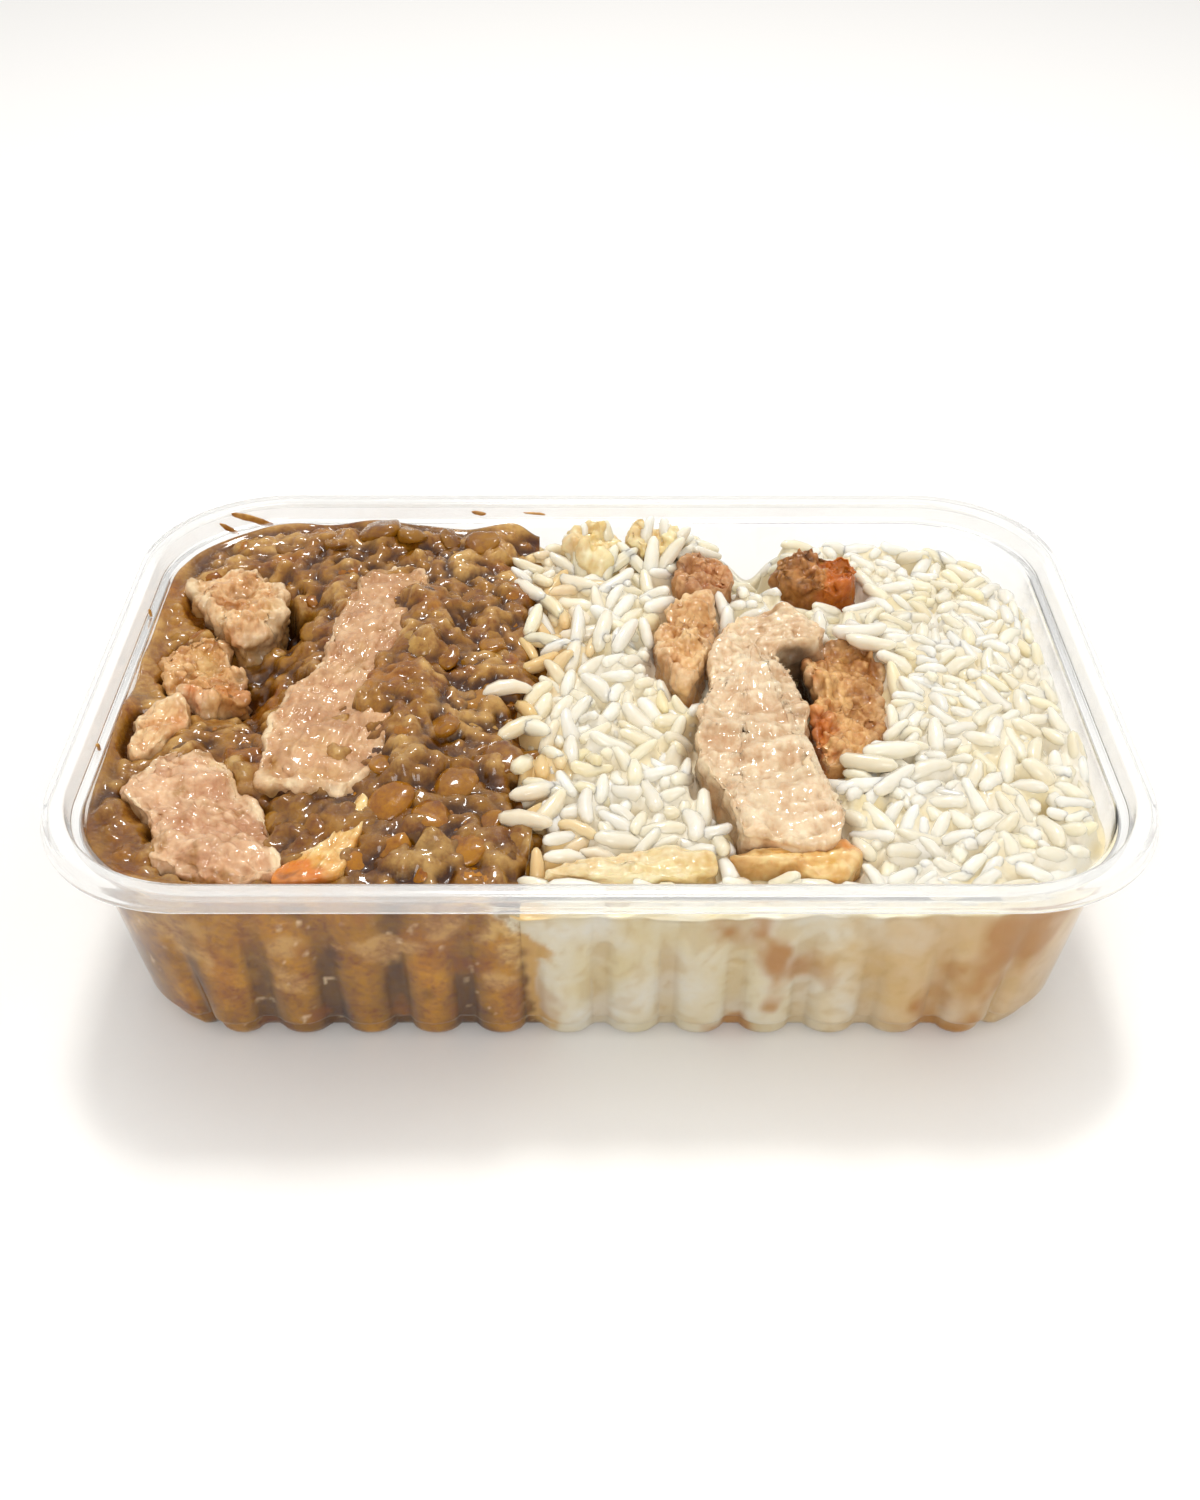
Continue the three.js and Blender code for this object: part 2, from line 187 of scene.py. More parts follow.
def blurred(values, radius):
    """Values averaged with a bell curve of the given radius in cells, along each axis in turn."""
    reach = int(3 * radius) + 1
    kernel = np.exp(-0.5 * (np.arange(-reach, reach + 1) / radius) ** 2)
    kernel /= kernel.sum()
    for axis in (0, 1):
        padded = np.pad(values, [(reach, reach) if a == axis else (0, 0) for a in (0, 1)], mode="edge")
        size = values.shape[axis]
        values = sum(w * np.take(padded, np.arange(k, k + size), axis) for k, w in enumerate(kernel))
    return values


# ---------------------------------------------------------------- meshes from arrays


def band_faces(rows, columns, wrap=True):
    """Quads between the neighbouring rows of a grid, whose columns may close into a ring."""
    across = columns if wrap else columns - 1
    i, j = np.meshgrid(np.arange(rows - 1), np.arange(across), indexing="ij")
    here, after = i * columns + j, i * columns + (j + 1) % columns
    return np.stack([here, after, after + columns, here + columns], -1).reshape(-1, 4)


def fan_faces(ring, pole):
    """Triangles from the points of a ring to a pole."""
    return np.stack([ring, np.roll(ring, -1), np.full(len(ring), pole)], -1)


def closed_by_poles(rows, reach=0.0):
    """Points and faces of a closed surface: a grid of rings whose first and last are drawn to a pole.

    reach moves the poles on past their rings, by that share of the way from the next ring's middle.
    """
    count, columns = rows.shape[:2]
    middle = rows[[0, 1, -2, -1]].mean(1)
    first_pole = middle[:1] + (middle[:1] - middle[1:2]) * reach
    last_pole = middle[3:] + (middle[3:] - middle[2:3]) * reach
    points = np.concatenate([rows.reshape(-1, 3), first_pole, last_pole])
    first, last = np.arange(columns), np.arange(columns) + (count - 1) * columns
    pole = count * columns
    return points, [band_faces(count, columns), fan_faces(first[::-1], pole), fan_faces(last, pole + 1)]


def signed_volume(points, faces):
    """A sixth of the sum of the triple products of each face's corners."""
    total = 0.0
    for part in faces:
        for k in range(1, part.shape[1] - 1):
            a, b, c = points[part[:, 0]], points[part[:, k]], points[part[:, k + 1]]
            total += np.einsum("ij,ij->i", a, np.cross(b, c)).sum() / 6
    return total


def add_piece(name, points, faces, materials, replaced=(), tint=None, choice=None):
    """A smooth mesh from points in millimetres, turned to face outwards, that rides on the tub's body.

    choice gives which of several materials each face has, from its first corner's point.
    """
    if signed_volume(points, faces) < 0:
        faces = [part[:, ::-1] for part in faces]
    mesh = bpy.data.meshes.new(name)
    loops = np.concatenate([part.ravel() for part in faces]).astype(np.int32)
    sizes = np.concatenate([np.full(len(part), part.shape[1]) for part in faces])
    starts = np.concatenate([[0], np.cumsum(sizes)[:-1]]).astype(np.int32)
    mesh.vertices.add(len(points))
    mesh.vertices.foreach_set("co", (points * MM).astype(np.float32).ravel())
    mesh.loops.add(len(loops))
    mesh.loops.foreach_set("vertex_index", loops)
    mesh.polygons.add(len(sizes))
    mesh.polygons.foreach_set("loop_start", starts)
    mesh.polygons.foreach_set("use_smooth", np.ones(len(sizes), bool))
    if tint is not None:
        colours = np.concatenate([tint, np.ones((len(points), 1))], axis=1).astype(np.float32)
        mesh.attributes.new("tint", "FLOAT_COLOR", "POINT").data.foreach_set("color", colours.ravel())
    mesh.update(calc_edges=True)
    if mesh.validate():
        raise RuntimeError(f"the mesh of {name} needed repair")
    piece = bpy.data.objects.new(name, mesh)
    bpy.context.scene.collection.objects.link(piece)
    for material in materials if isinstance(materials, tuple) else (materials,):
        mesh.materials.append(material)
    if choice is not None:
        mesh.polygons.foreach_set("material_index", choice(points[loops[starts]]).astype(np.int32))
    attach(piece, BODY)
    if replaced:
        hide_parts(*replaced)
    return piece


# ---------------------------------------------------------------- the tub's outline and wall


def wall_inset(z):
    """The wall's inset from the rim, which shrinks in proportion to height up to the shoulder."""
    return FOOT_INSET - (FOOT_INSET - SHOULDER_INSET) * np.clip(z, 0, SHOULDER_Z) / SHOULDER_Z


def outer_inset(z):
    """The wall's inset, more at its foot: a quarter ellipse at the bottom, and a smooth step above it."""
    step_rise, round_in, round_up = 0.7, 2.6, 2.4
    step = FOOT_STEP * (1 - smooth((z - FOOT_HEIGHT) / step_rise))
    tuck = round_in * (1 - np.sqrt(1 - np.clip(1 - z / round_up, 0, 1) ** 2))
    return wall_inset(z) + step + tuck


def flute_relief(side, arc, z):
    """How far the flutes stand out: flat valleys, round lobes between them, less in proportion to height."""
    count = np.where(side % 2 == 0, LONG_FLUTES, SHORT_FLUTES)
    crown, valley, half = 0.6, -1.6, 3.85  # the lobe's and the valley's relief, and half a lobe's width
    across = np.abs(arc) / FLUTE_PITCH + np.where(count % 2, 0, 0.5)
    off = np.abs(across - np.rint(across)) * FLUTE_PITCH
    lobe = np.clip(1 - (off / half) ** 2, 0, 1) ** 0.6
    inside = 1 - smooth((np.abs(arc) - (count / 2 * FLUTE_PITCH - 0.9)) / 2.2)
    return (valley + (crown - valley) * lobe) * inside * np.clip(1 - z / FADE_Z, 0, 1)


def side_straight(side, inset):
    """Half the straight run of a side, its distance from the centre, and the corner radius."""
    radius = RIM_RADIUS - CORNER_SHRINK * inset
    run = np.where(side % 2 == 0, RIM[0], RIM[1]) - inset
    out = np.where(side % 2 == 0, RIM[1], RIM[0]) - inset
    return run - radius, out, radius


def outline(side, arc, inset, bulge=0.0):
    """Points of the rounded rectangle: straight to the side's end, then a turn of arc over radius.

    arc is measured from the side's middle along the foot, and bulge moves a point out along the normal.
    """
    foot_straight, _, foot_radius = side_straight(side, FOOT_INSET)
    straight, out, radius = side_straight(side, inset)
    angle = np.clip(np.abs(arc) - foot_straight, 0, None) / foot_radius * np.sign(arc)
    corner = np.sign(arc) * (straight + radius * np.sin(np.abs(angle)))
    along = np.where(angle == 0, arc, corner) + bulge * np.sin(angle)
    away = out - radius + (radius + bulge) * np.cos(angle)
    turn = side * math.pi / 2
    return along * np.cos(turn) + away * np.sin(turn), along * np.sin(turn) - away * np.cos(turn)


def corner_arc(side):
    """The arc from a side's middle to the middle of its corner."""
    straight, _, radius = side_straight(side, FOOT_INSET)
    return straight + radius * math.pi / 4


def around(spacing):
    """Side numbers and arcs of evenly spaced points round the whole tub."""
    sides, arcs = [], []
    for side in range(4):
        half = float(corner_arc(np.array(side)))
        steps = int(2 * half / spacing)
        arcs.append(np.linspace(-half, half, steps, endpoint=False))
        sides.append(np.full(steps, side))
    return np.concatenate(sides), np.concatenate(arcs)


def wall_distance(x, y, inset):
    """Signed distance to the outline at an inset, negative inside it."""
    radius = RIM_RADIUS - CORNER_SHRINK * inset
    dx = np.abs(x) - (RIM[0] - inset - radius)
    dy = np.abs(y) - (RIM[1] - inset - radius)
    outside = np.hypot(np.clip(dx, 0, None), np.clip(dy, 0, None))
    return outside + np.minimum(np.maximum(dx, dy), 0) - radius


def rounded_path(corners, steps=3):
    """A path through (inset, z, radius) corners, each rounded by a curve that starts a radius before it."""
    corners = np.array(corners, float)
    points = [corners[0, :2]]
    for before, here, after in zip(corners[:-2], corners[1:-1], corners[2:]):
        to_before, to_after = before[:2] - here[:2], after[:2] - here[:2]
        cut = [min(here[2], 0.49 * np.linalg.norm(d)) / np.linalg.norm(d) for d in (to_before, to_after)]
        start, end = here[:2] + to_before * cut[0], here[:2] + to_after * cut[1]
        for t in np.linspace(0, 1, steps + 1):
            points.append((1 - t) ** 2 * start + 2 * t * (1 - t) * here[:2] + t * t * end)
    points.append(corners[-1, :2])
    return np.array(points)


def tub_rings(wall, spacing):
    """Every ring of the tub's closed skin: up the outside, over the rim and skirt, and down the inside."""
    side, arc = around(spacing)
    side, arc = side[None, :], arc[None, :]

    def rings(inset, z, fluted):
        """The outline at each inset and height, with the flutes' relief if fluted."""
        inset, z = np.array(inset)[:, None], np.array(z)[:, None]
        x, y = outline(side, arc, inset, flute_relief(side, arc, z) if fluted else 0.0)
        return stack(x, y, z)

    def disc(ring, z, shares):
        """A ring scaled by each share and laid flat at a height."""
        flat = ring[None] * np.array([1, 1, 0]) * np.array(shares)[:, None, None]
        return flat + np.array([0, 0, 1]) * z

    wall_z = np.concatenate([np.linspace(0.05, 5.4, 17), np.linspace(7, SHOULDER_Z - 1.2, 13)])
    outer = rings(outer_inset(wall_z), wall_z, True)
    inner_z = wall_z[::-1] + np.linspace(0, wall, len(wall_z))
    inner = rings(outer_inset(inner_z - wall * 0.6) + wall, inner_z, True)
    skirt_z = HEIGHT - 3.1
    rim = rounded_path([
        (wall_inset(36.2), SHOULDER_Z - 1.0, 0.1),
        (wall_inset(37), SHOULDER_Z - 0.5, 0.35),
        (LAND_INSET + 0.3, SHOULDER_Z - 0.3, 0.35),
        (LAND_INSET - 0.1, HEIGHT - wall, 0.35),
        (wall + 0.25, HEIGHT - wall, 0.4),
        (wall - 0.15, skirt_z + 0.9, 0.2),
        (0.15, skirt_z, 0.15),
        (-SKIRT_FLARE, skirt_z, 0.2),
        (-SKIRT_FLARE, skirt_z + 0.7, 0.25),
        (-0.02, skirt_z + 1.0, 0.25),
        (0.0, HEIGHT, 0.75),
        (LAND_INSET, HEIGHT, 0.6),
        (LAND_INSET + 0.75, SHOULDER_Z + 0.3, 0.5),
        (wall_inset(37) + wall, SHOULDER_Z, 0.5),
        (wall_inset(36) + wall, SHOULDER_Z - 1.0, 0.1),
    ])
    lip = rings(rim[:, 0], rim[:, 1], False)
    shares = [0.02, 0.35, 0.7, 0.9, 0.97]
    under = disc(outer[0], BASE_Z, shares)
    over = disc(inner[-1], BASE_Z + wall, shares[::-1])
    return np.concatenate([under, outer, lip, inner, over])


# ---------------------------------------------------------------- the two beds of food


def border_x(y):
    """The line between curry and rice: two waves about a straight line."""
    return BORDER_X + 2.2 * np.sin(y / 9) + 1.3 * np.sin(y / 3.7)


def bed_edges(curry, spacing, inset, z):
    """The four edges of a bed's plan, front, back, left and right, at an inset and height.

    The rice's plan reaches a little under the curry's, so that they close on each other.
    """
    half = float(corner_arc(np.array(0)))
    end = float(corner_arc(np.array(1)))
    meet = BORDER_X if curry else BORDER_X - 1.5
    first, last = (-half, meet) if curry else (meet, half)
    run = np.linspace(first, last, int((last - first) / spacing))
    rise = np.linspace(-end, end, int(2 * end / spacing))
    ways = {"front": (0, run), "back": (2, -run), "side": (3, -rise) if curry else (1, rise)}
    edges = {}
    for name, (side, arc) in ways.items():
        side = np.full(len(arc), side)
        edges[name] = stack(*outline(side, arc, inset, flute_relief(side, arc, z)), z)
    ends = [edges[name][-1 if curry else 0] for name in ("front", "back")]
    t = np.linspace(0, 1, len(rise))[:, None]
    border = ends[0] * (1 - t) + ends[1] * t
    border[:, 0] += (border_x(border[:, 1]) - BORDER_X) * (4 * t * (1 - t))[:, 0]
    left, right = (edges["side"], border) if curry else (border, edges["side"])
    return edges["front"], edges["back"], left, right


def coons_patch(front, back, left, right):
    """Points between four edges: the two blends of opposite edges added, less the blend of the corners."""
    u = np.linspace(0, 1, len(front))[None, :, None]
    v = np.linspace(0, 1, len(left))[:, None, None]
    near = (1 - u) * (1 - v) * front[0] + u * (1 - v) * front[-1]
    corners = near + (1 - u) * v * back[0] + u * v * back[-1]
    return (1 - v) * front + v * back + (1 - u) * left[:, None] + u * right[:, None] - corners


def edge_loop(front, back, left, right):
    """The four edges joined into one loop, in the order that the patch's border has."""
    return np.concatenate([front[:-1], right[:-1], back[::-1][:-1], left[::-1][:-1]])


def bed_block(curry, spacing, skin, wall_rows, top_height, wall_dent=None):
    """A closed bed: a patch for its top, loops down the tub's wall, and loops drawn in to a pole underneath.

    skin is how far the bed stays inside the tub's outer face, and top_height gives the top's z.
    """

    def edges(z):
        """The edges of the bed's plan at a height."""
        return bed_edges(curry, spacing, outer_inset(z) + skin, z)

    plan_z, highest, level_count = 34.5, 36.5, 160
    top = coons_patch(*edges(plan_z))
    top[..., 2] = top_height(top[..., 0], top[..., 1])
    rows, columns = top.shape[:2]
    grid = np.arange(rows * columns).reshape(rows, columns)
    border = np.concatenate([grid[0, :-1], grid[:-1, -1], grid[-1, ::-1][:-1], grid[::-1, 0][:-1]])
    rim_z = top.reshape(-1, 3)[border, 2]
    levels = np.linspace(BASE_Z, highest, level_count)
    table = np.stack([edge_loop(*edges(z)) for z in levels])
    down = []
    for share in np.linspace(0, 1, wall_rows)[1:] ** 0.9:
        z = rim_z * (1 - share) + BASE_Z * share
        place = np.clip((z - levels[0]) / (levels[1] - levels[0]), 0, level_count - 1.001)
        k, column = place.astype(int), np.arange(len(z))
        t = (place - k)[:, None]
        ring = table[k, column] * (1 - t) + table[k + 1, column] * t
        ring[:, 2] = z
        down.append(ring)
    down = np.array(down)
    if wall_dent is not None:
        down = wall_dent(down)
    centre = down[-1].mean(0)
    under = centre + (down[-1] - centre) * np.array([0.93, 0.7, 0.35])[:, None, None]
    loops = np.concatenate([down, under])
    count = len(border)
    first = rows * columns + np.arange(count)
    last = first + (len(loops) - 1) * count
    points = np.concatenate([top.reshape(-1, 3), loops.reshape(-1, 3), centre[None]])
    faces = [
        band_faces(rows, columns, wrap=False)[:, ::-1],
        np.stack([border, np.roll(border, -1), np.roll(first, -1), first], -1),
        band_faces(len(loops), count) + first[0],
        fan_faces(last, len(points) - 1),
    ]
    return points, faces, rows * columns


# ---------------------------------------------------------------- solid pieces of food


def spline_loop(corners, count):
    """A closed Catmull-Rom curve through the corners, sampled evenly along its length."""
    p = np.array(corners, float)
    before, after, beyond = np.roll(p, 1, 0), np.roll(p, -1, 0), np.roll(p, -2, 0)
    t = np.linspace(0, 1, 24, endpoint=False)[None, :, None]
    a, b, c, d = (q[:, None] for q in (before, p, after, beyond))
    curve = 0.5 * (2 * b + (c - a) * t + (2 * a - 5 * b + 4 * c - d) * t**2 + (3 * b - a - 3 * c + d) * t**3)
    curve = curve.reshape(-1, 2)
    closed = np.concatenate([curve, curve[:1]])
    length = np.concatenate([[0], np.cumsum(np.linalg.norm(np.diff(closed, axis=0), axis=1))])
    even = np.linspace(0, length[-1], count, endpoint=False)
    return np.stack([np.interp(even, length, closed[:, k]) for k in (0, 1)], -1)


def inside(x, y, loop):
    """True inside a loop: a ray from the point towards the back crosses the loop an odd number of times."""
    x, y = np.asarray(x, float)[..., None], np.asarray(y, float)[..., None]
    ax, ay = loop[:, 0], loop[:, 1]
    bx, by = np.roll(ax, -1), np.roll(ay, -1)
    spans = (ax > x) != (bx > x)
    run = np.where(bx == ax, 1.0, bx - ax)
    above = ay + (x - ax) * (by - ay) / run > y
    return (spans & above).sum(-1) % 2 == 1


def fitted(corners, low, high):
    """A drawn outline stretched to fill a box's plan."""
    p = np.array(corners, float)
    share = (p - p.min(0)) / (p.max(0) - p.min(0))
    return low[:2] + share * (high[:2] - low[:2])


def grid_normals(rows):
    """Unit normals of a grid of rings from the cross product of its neighbour differences."""
    across = np.roll(rows, -1, 1) - np.roll(rows, 1, 1)
    along = np.gradient(rows, axis=0)
    normal = np.cross(across, along)
    return normal / np.maximum(np.linalg.norm(normal, axis=-1, keepdims=True), 1e-9)


class Chunk:
    """A flat-topped piece of food that fills a CAD node's box, drawn as an outline seen from above."""

    def __init__(self, node, corners, slope=(0, 0), edge=1.2, centre=None, spacing=0.55):
        """Fits the drawn corners to the node's box, with the top's slope and the radius of its edge."""
        self.low, self.high = node_box(node)
        size = (self.high - self.low)[:2]
        self.loop = spline_loop(fitted(corners, self.low, self.high), int(2.6 * size.sum() / spacing))
        self.steps = int(0.32 * size.sum() / spacing) + 12
        if centre is None:
            self.centre = self.loop.mean(0)
        else:
            drawn = np.array(corners, float)
            share = (np.array(centre) - drawn.min(0)) / (drawn.max(0) - drawn.min(0))
            self.centre = self.low[:2] + share * size
        self.slope, self.edge = np.array(slope), edge

    def top(self, x, y):
        """The top's height: a tilted plane whose highest point is the box's top."""
        tilt = (x - self.centre[0]) * self.slope[0] + (y - self.centre[1]) * self.slope[1]
        reach = ((self.loop - self.centre) @ self.slope).max()
        return self.high[2] - reach + tilt

    def rings(self, ragged, lumps, seed):
        """Rings of the closed skin: over the top by share of the radius, round the edge, down and under.

        The edge is a quarter circle of the edge radius; ragged moves the outline in and out by noise,
        and lumps moves the top up and down by coarse noise.
        """
        out = self.loop - self.centre
        radius = np.linalg.norm(out, axis=1)
        wobble = ragged * (fractal(stack(self.loop[:, 0], self.loop[:, 1]), 8.0, seed, 3) - 0.2)
        direction = out / radius[:, None]
        radius = radius + wobble
        edge = np.minimum(self.edge, radius * 0.45)
        shares = np.linspace(0.04, 1, self.steps) ** 0.8
        turn = np.linspace(0, math.pi / 2, 8)[1:]
        insets = [(radius - edge) * (1 - s) + edge for s in shares]
        insets += [edge * (1 - math.sin(a)) for a in turn]
        drops = [np.zeros_like(radius) for _ in shares] + [edge * (1 - math.cos(a)) for a in turn]
        depth = self.high[2] - self.low[2]
        side = np.linspace(0, 1, int(depth / 0.5))[1:]
        insets += [0.25 * edge * s for s in side] + [radius * 0.5, radius * 0.95]
        drops += [edge + (depth - edge) * s for s in side] + [depth + 0 * radius] * 2
        rings = []
        for inset, drop in zip(insets, drops):
            plan = self.centre + direction * (radius - inset)[:, None]
            heave = lumps * (fractal(stack(plan[:, 0], plan[:, 1]), 5.5, seed + 1, 4) - 0.3)
            z = self.top(plan[:, 0], plan[:, 1]) - drop + heave * np.clip(1 - drop / depth, 0, 1)
            rings.append(stack(plan[:, 0], plan[:, 1], np.maximum(z, self.low[2])))
        return np.array(rings), np.array(insets)


CHUNKS = {
    "pork_slab": dict(
        corners=[(-54, -29), (-55, -16), (-52, -4), (-48.5, 6), (-48, 18), (-45, 27), (-42, 34), (-33, 36),
                 (-31, 14), (-33, -12), (-37, -27), (-46, -33)],
        slope=(-0.05, 0.006), edge=2.0,
    ),
    "pork_left_back": dict(
        corners=[(-76, 24), (-75, 33), (-67, 37), (-60, 33), (-57, 26), (-58, 16), (-64, 12), (-70, 17)],
        slope=(0.03, 0.02), edge=2.4,
    ),
    "pork_left_sliver": dict(
        corners=[(-79, -9), (-74.5, -5.5), (-70, -7), (-70.5, -14), (-74.5, -21), (-78.6, -18)],
        edge=1.1,
    ),
    "pork_left_middle": dict(
        corners=[(-77, 3), (-76, 14), (-70, 16), (-63, 9), (-61, 0), (-65, -7), (-72, -4)],
        slope=(-0.08, 0.03), edge=2.4,
    ),
    "pork_left_front": dict(
        corners=[(-77, -29), (-73, -22), (-66, -18.5), (-57, -28), (-51, -38), (-50, -49), (-60, -50.5),
                 (-68, -47), (-71, -38)],
        slope=(-0.04, 0.03),
    ),
    "fat_strip_left": dict(
        corners=[(-37.5, -31), (-36, -36), (-37.5, -44), (-39.5, -50), (-48, -51), (-48.6, -47.5),
                 (-43, -42), (-39.5, -36)],
        slope=(0.05, 0.03), edge=0.7, centre=(-40.5, -44),
    ),
    "pork_slice_right": dict(
        corners=[(15.5, -21), (18, -6), (20, 8), (25, 17.5), (35, 18), (40.5, 13), (38, 8.5), (32, 7.5),
                 (30.5, 3), (34.5, -9), (33, -26), (37.5, -36), (36, -42.5), (23, -42.5), (20, -34)],
        edge=1.0, centre=(27, 10),
    ),
    "crust_strip_front": dict(
        corners=[(19.5, -45), (27, -43.4), (38.5, -43.2), (38.8, -48), (35, -50.3), (30, -48.8)], edge=1.0,
    ),
    "pale_strip_front": dict(
        corners=[(-8, -48.6), (-3, -45.4), (6, -43.8), (15, -44.2), (18.4, -46.5), (15, -49.4), (3, -49.9)],
        edge=1.0,
    ),
    "pork_crusted_back": dict(
        corners=[(33, 33), (34.5, 39.5), (40, 41), (47.5, 39.5), (49.5, 33), (47, 29), (40, 28)], edge=1.0,
    ),
    "pork_crusted_right": dict(
        corners=[(36.5, 10), (42, 14.5), (49, 12), (50.5, 2), (47, -12), (42, -21), (36.5, -24), (36, -8)],
        edge=1.2,
    ),
    "pork_middle_front": dict(
        corners=[(10, 10), (12, 24), (17, 28), (22, 24), (20, 10), (17, -1), (13.5, -2)], edge=1.5,
    ),
    "pork_middle_back": dict(
        corners=[(13.5, 33), (16, 42), (20, 44.5), (24, 41), (25.5, 33), (21, 29.2), (16, 30)], edge=1.5,
    ),
    "pale_chunk_left": dict(
        corners=[(-7, 44), (-4, 49.8), (2, 50), (4.5, 45), (2, 40), (-4, 39.5)], edge=3.6,
    ),
    "pale_chunk_right": dict(
        corners=[(5.5, 44), (7, 49.5), (13, 50.2), (16, 47.5), (13, 42.5), (8, 40.5)], edge=3.6,
    ),
}


@functools.lru_cache
def drawn_chunk(node):
    """The chunk of a CAD node, drawn once."""
    return Chunk(node, **CHUNKS[node])


def linear(*display):
    """Linear light from display values out of 255."""
    v = np.array(display, float) / 255
    return np.where(v <= 0.04045, v / 12.92, ((v + 0.055) / 1.055) ** 2.4)


def mixed(first, second, share):
    """Two colours blended by a share for each point."""
    return first + (second - first) * np.clip(share, 0, 1)[..., None]


GRAVY = linear(162, 110, 30)
GRAVY_DARK = linear(84, 46, 0)
GRAVY_PALE = linear(206, 162, 92)
GRAVY_AMBER = linear(186, 112, 4)
# GRAVY_DEEP_SHADE is painted shade for low places in the curry
GRAVY_DEEP_SHADE = linear(60, 30, 8)
LUMP_TONES = (linear(150, 102, 26), linear(178, 116, 4))
LENTIL_TONES = np.array(
    [linear(158, 110, 32), linear(176, 112, 6), linear(116, 74, 6), linear(190, 146, 70)]
)
LENTIL_SHARES = [0.4, 0.26, 0.18, 0.16]
SMEAR_DARK, SMEAR_PALE = linear(204, 150, 70), linear(226, 182, 110)
FAT = linear(248, 222, 180)
CRUST = linear(222, 112, 4)
CHAR = linear(96, 36, 4)
RICE = linear(253, 248, 236)
RICE_YELLOW = linear(250, 234, 190)
RICE_STAINED = linear(226, 190, 126)
# food seen through the wall: gravy's two tones, its blotches and its pale patches; between gravy and rice;
# rice's tan end, the painted shade in the gaps between its grains, and its stains
WALL_GRAVY = (linear(110, 70, 4), linear(214, 152, 32))
WALL_BLOTCH = linear(168, 98, 10)
WALL_PALE = linear(216, 172, 104)
WALL_BETWEEN = linear(222, 182, 108)
WALL_TAN = linear(214, 168, 90)
WALL_GAP_SHADE = linear(190, 154, 92)
WALL_STAIN = linear(186, 128, 44)

LOOKS = {
    # node: two tones of meat, share of fat at the edge, share of crust, grain direction, relief in mm,
    # how far the top's coarse lumps rise in mm, and how ragged the outline is in mm
    "pork_slab": (linear(196, 148, 104), linear(230, 188, 142), 1.0, 0.0, (0.2, 1), 0.34, 1.7, 2.4),
    "pork_left_back": (linear(214, 160, 102), linear(248, 212, 160), 0.9, 0.14, (1, 0.3), 0.5, 2.8, 2.6),
    "pork_left_middle": (linear(208, 152, 88), linear(244, 202, 142), 0.8, 0.24, (1, -0.4), 0.55, 3.2, 2.8),
    "pork_left_sliver": (linear(216, 160, 98), linear(250, 218, 166), 0.6, 0.2, (0.4, 1), 0.45, 1.8, 2.0),
    "pork_left_front": (linear(204, 154, 114), linear(240, 202, 160), 1.0, 0.05, (1, -0.6), 0.45, 1.9, 2.2),
    "fat_strip_left": (linear(222, 158, 62), linear(248, 216, 150), 0.3, 0.35, (0.4, 1), 0.3, 0.4, 0.8),
    "pork_slice_right": (linear(213, 177, 135), linear(248, 228, 192), 0.8, 0.02, (1, 0.1), 0.55, 1.6, 1.8),
    "crust_strip_front": (linear(220, 168, 86), linear(250, 220, 156), 0.3, 0.25, (1, 0.1), 0.35, 0.8, 1.2),
    "pale_strip_front": (linear(230, 206, 140), linear(244, 230, 188), 0.2, 0.03, (1, 0.1), 0.35, 1.2, 1.6),
    "pork_crusted_back": (linear(112, 68, 26), linear(204, 144, 80), 0.0, 0.36, (0, 0), 1.0, 3.6, 2.4),
    "pork_crusted_right": (linear(172, 116, 58), linear(238, 190, 124), 0.3, 0.30, (0, 0), 0.8, 2.6, 2.0),
    "pork_middle_front": (linear(200, 144, 80), linear(244, 204, 146), 0.4, 0.06, (0, 0), 0.7, 2.6, 2.0),
    "pork_middle_back": (linear(168, 112, 62), linear(230, 178, 122), 0.2, 0.16, (0, 0), 0.7, 2.6, 2.0),
    "pale_chunk_left": (linear(232, 206, 138), linear(250, 238, 196), 0.0, 0.06, (0, 0), 0.6, 3.6, 2.4),
    "pale_chunk_right": (linear(232, 204, 136), linear(250, 236, 192), 0.0, 0.08, (0, 0), 0.6, 3.6, 2.4),
}


CRUST_SIDES = {
    "pork_crusted_back": (2.2, 0.0), "pork_crusted_right": (-1.0, 0.2), "crust_strip_front": (0.6, 0.3),
    "fat_strip_left": (-0.3, -1.2), "pork_left_middle": (0.2, -0.8), "pork_left_front": (-0.2, -0.6),
}


MEAT_SLOTS = {
    # the pieces that are not plain roast pork
    "pork_crusted_back": "browned_pork", "pork_crusted_right": "browned_pork",
    "pork_middle_back": "browned_pork", "fat_strip_left": "pork_fat", "crust_strip_front": "pork_fat",
    "pale_strip_front": "pale_chunk", "pale_chunk_left": "pale_chunk", "pale_chunk_right": "pale_chunk",
}


HOLLOW = (35.0, 2.0, 3.6, 9.0)  # the dark hollow beside the hook: its centre and its reach in plan
# HOLLOW_SHADE is painted shade for the sides of pieces that face the hollow
HOLLOW_SHADE = linear(52, 24, 10)


def fibres(points, direction, seed):
    """Noise drawn out along a direction in plan, or upwards when there is none, like the grain of meat."""
    x, y, z = points[..., 0], points[..., 1], points[..., 2]
    if not any(direction):
        drawn = stack(x / 1.3, y / 1.3, z / 9)
    else:
        a, b = np.array(direction) / np.hypot(*direction)
        drawn = stack((x * a + y * b) / 7.0, (y * a - x * b) / 1.1, z / 2.5)
    return 0.65 * noise(drawn, 1.0, seed) + 0.35 * noise(drawn, 0.5, seed + 1)


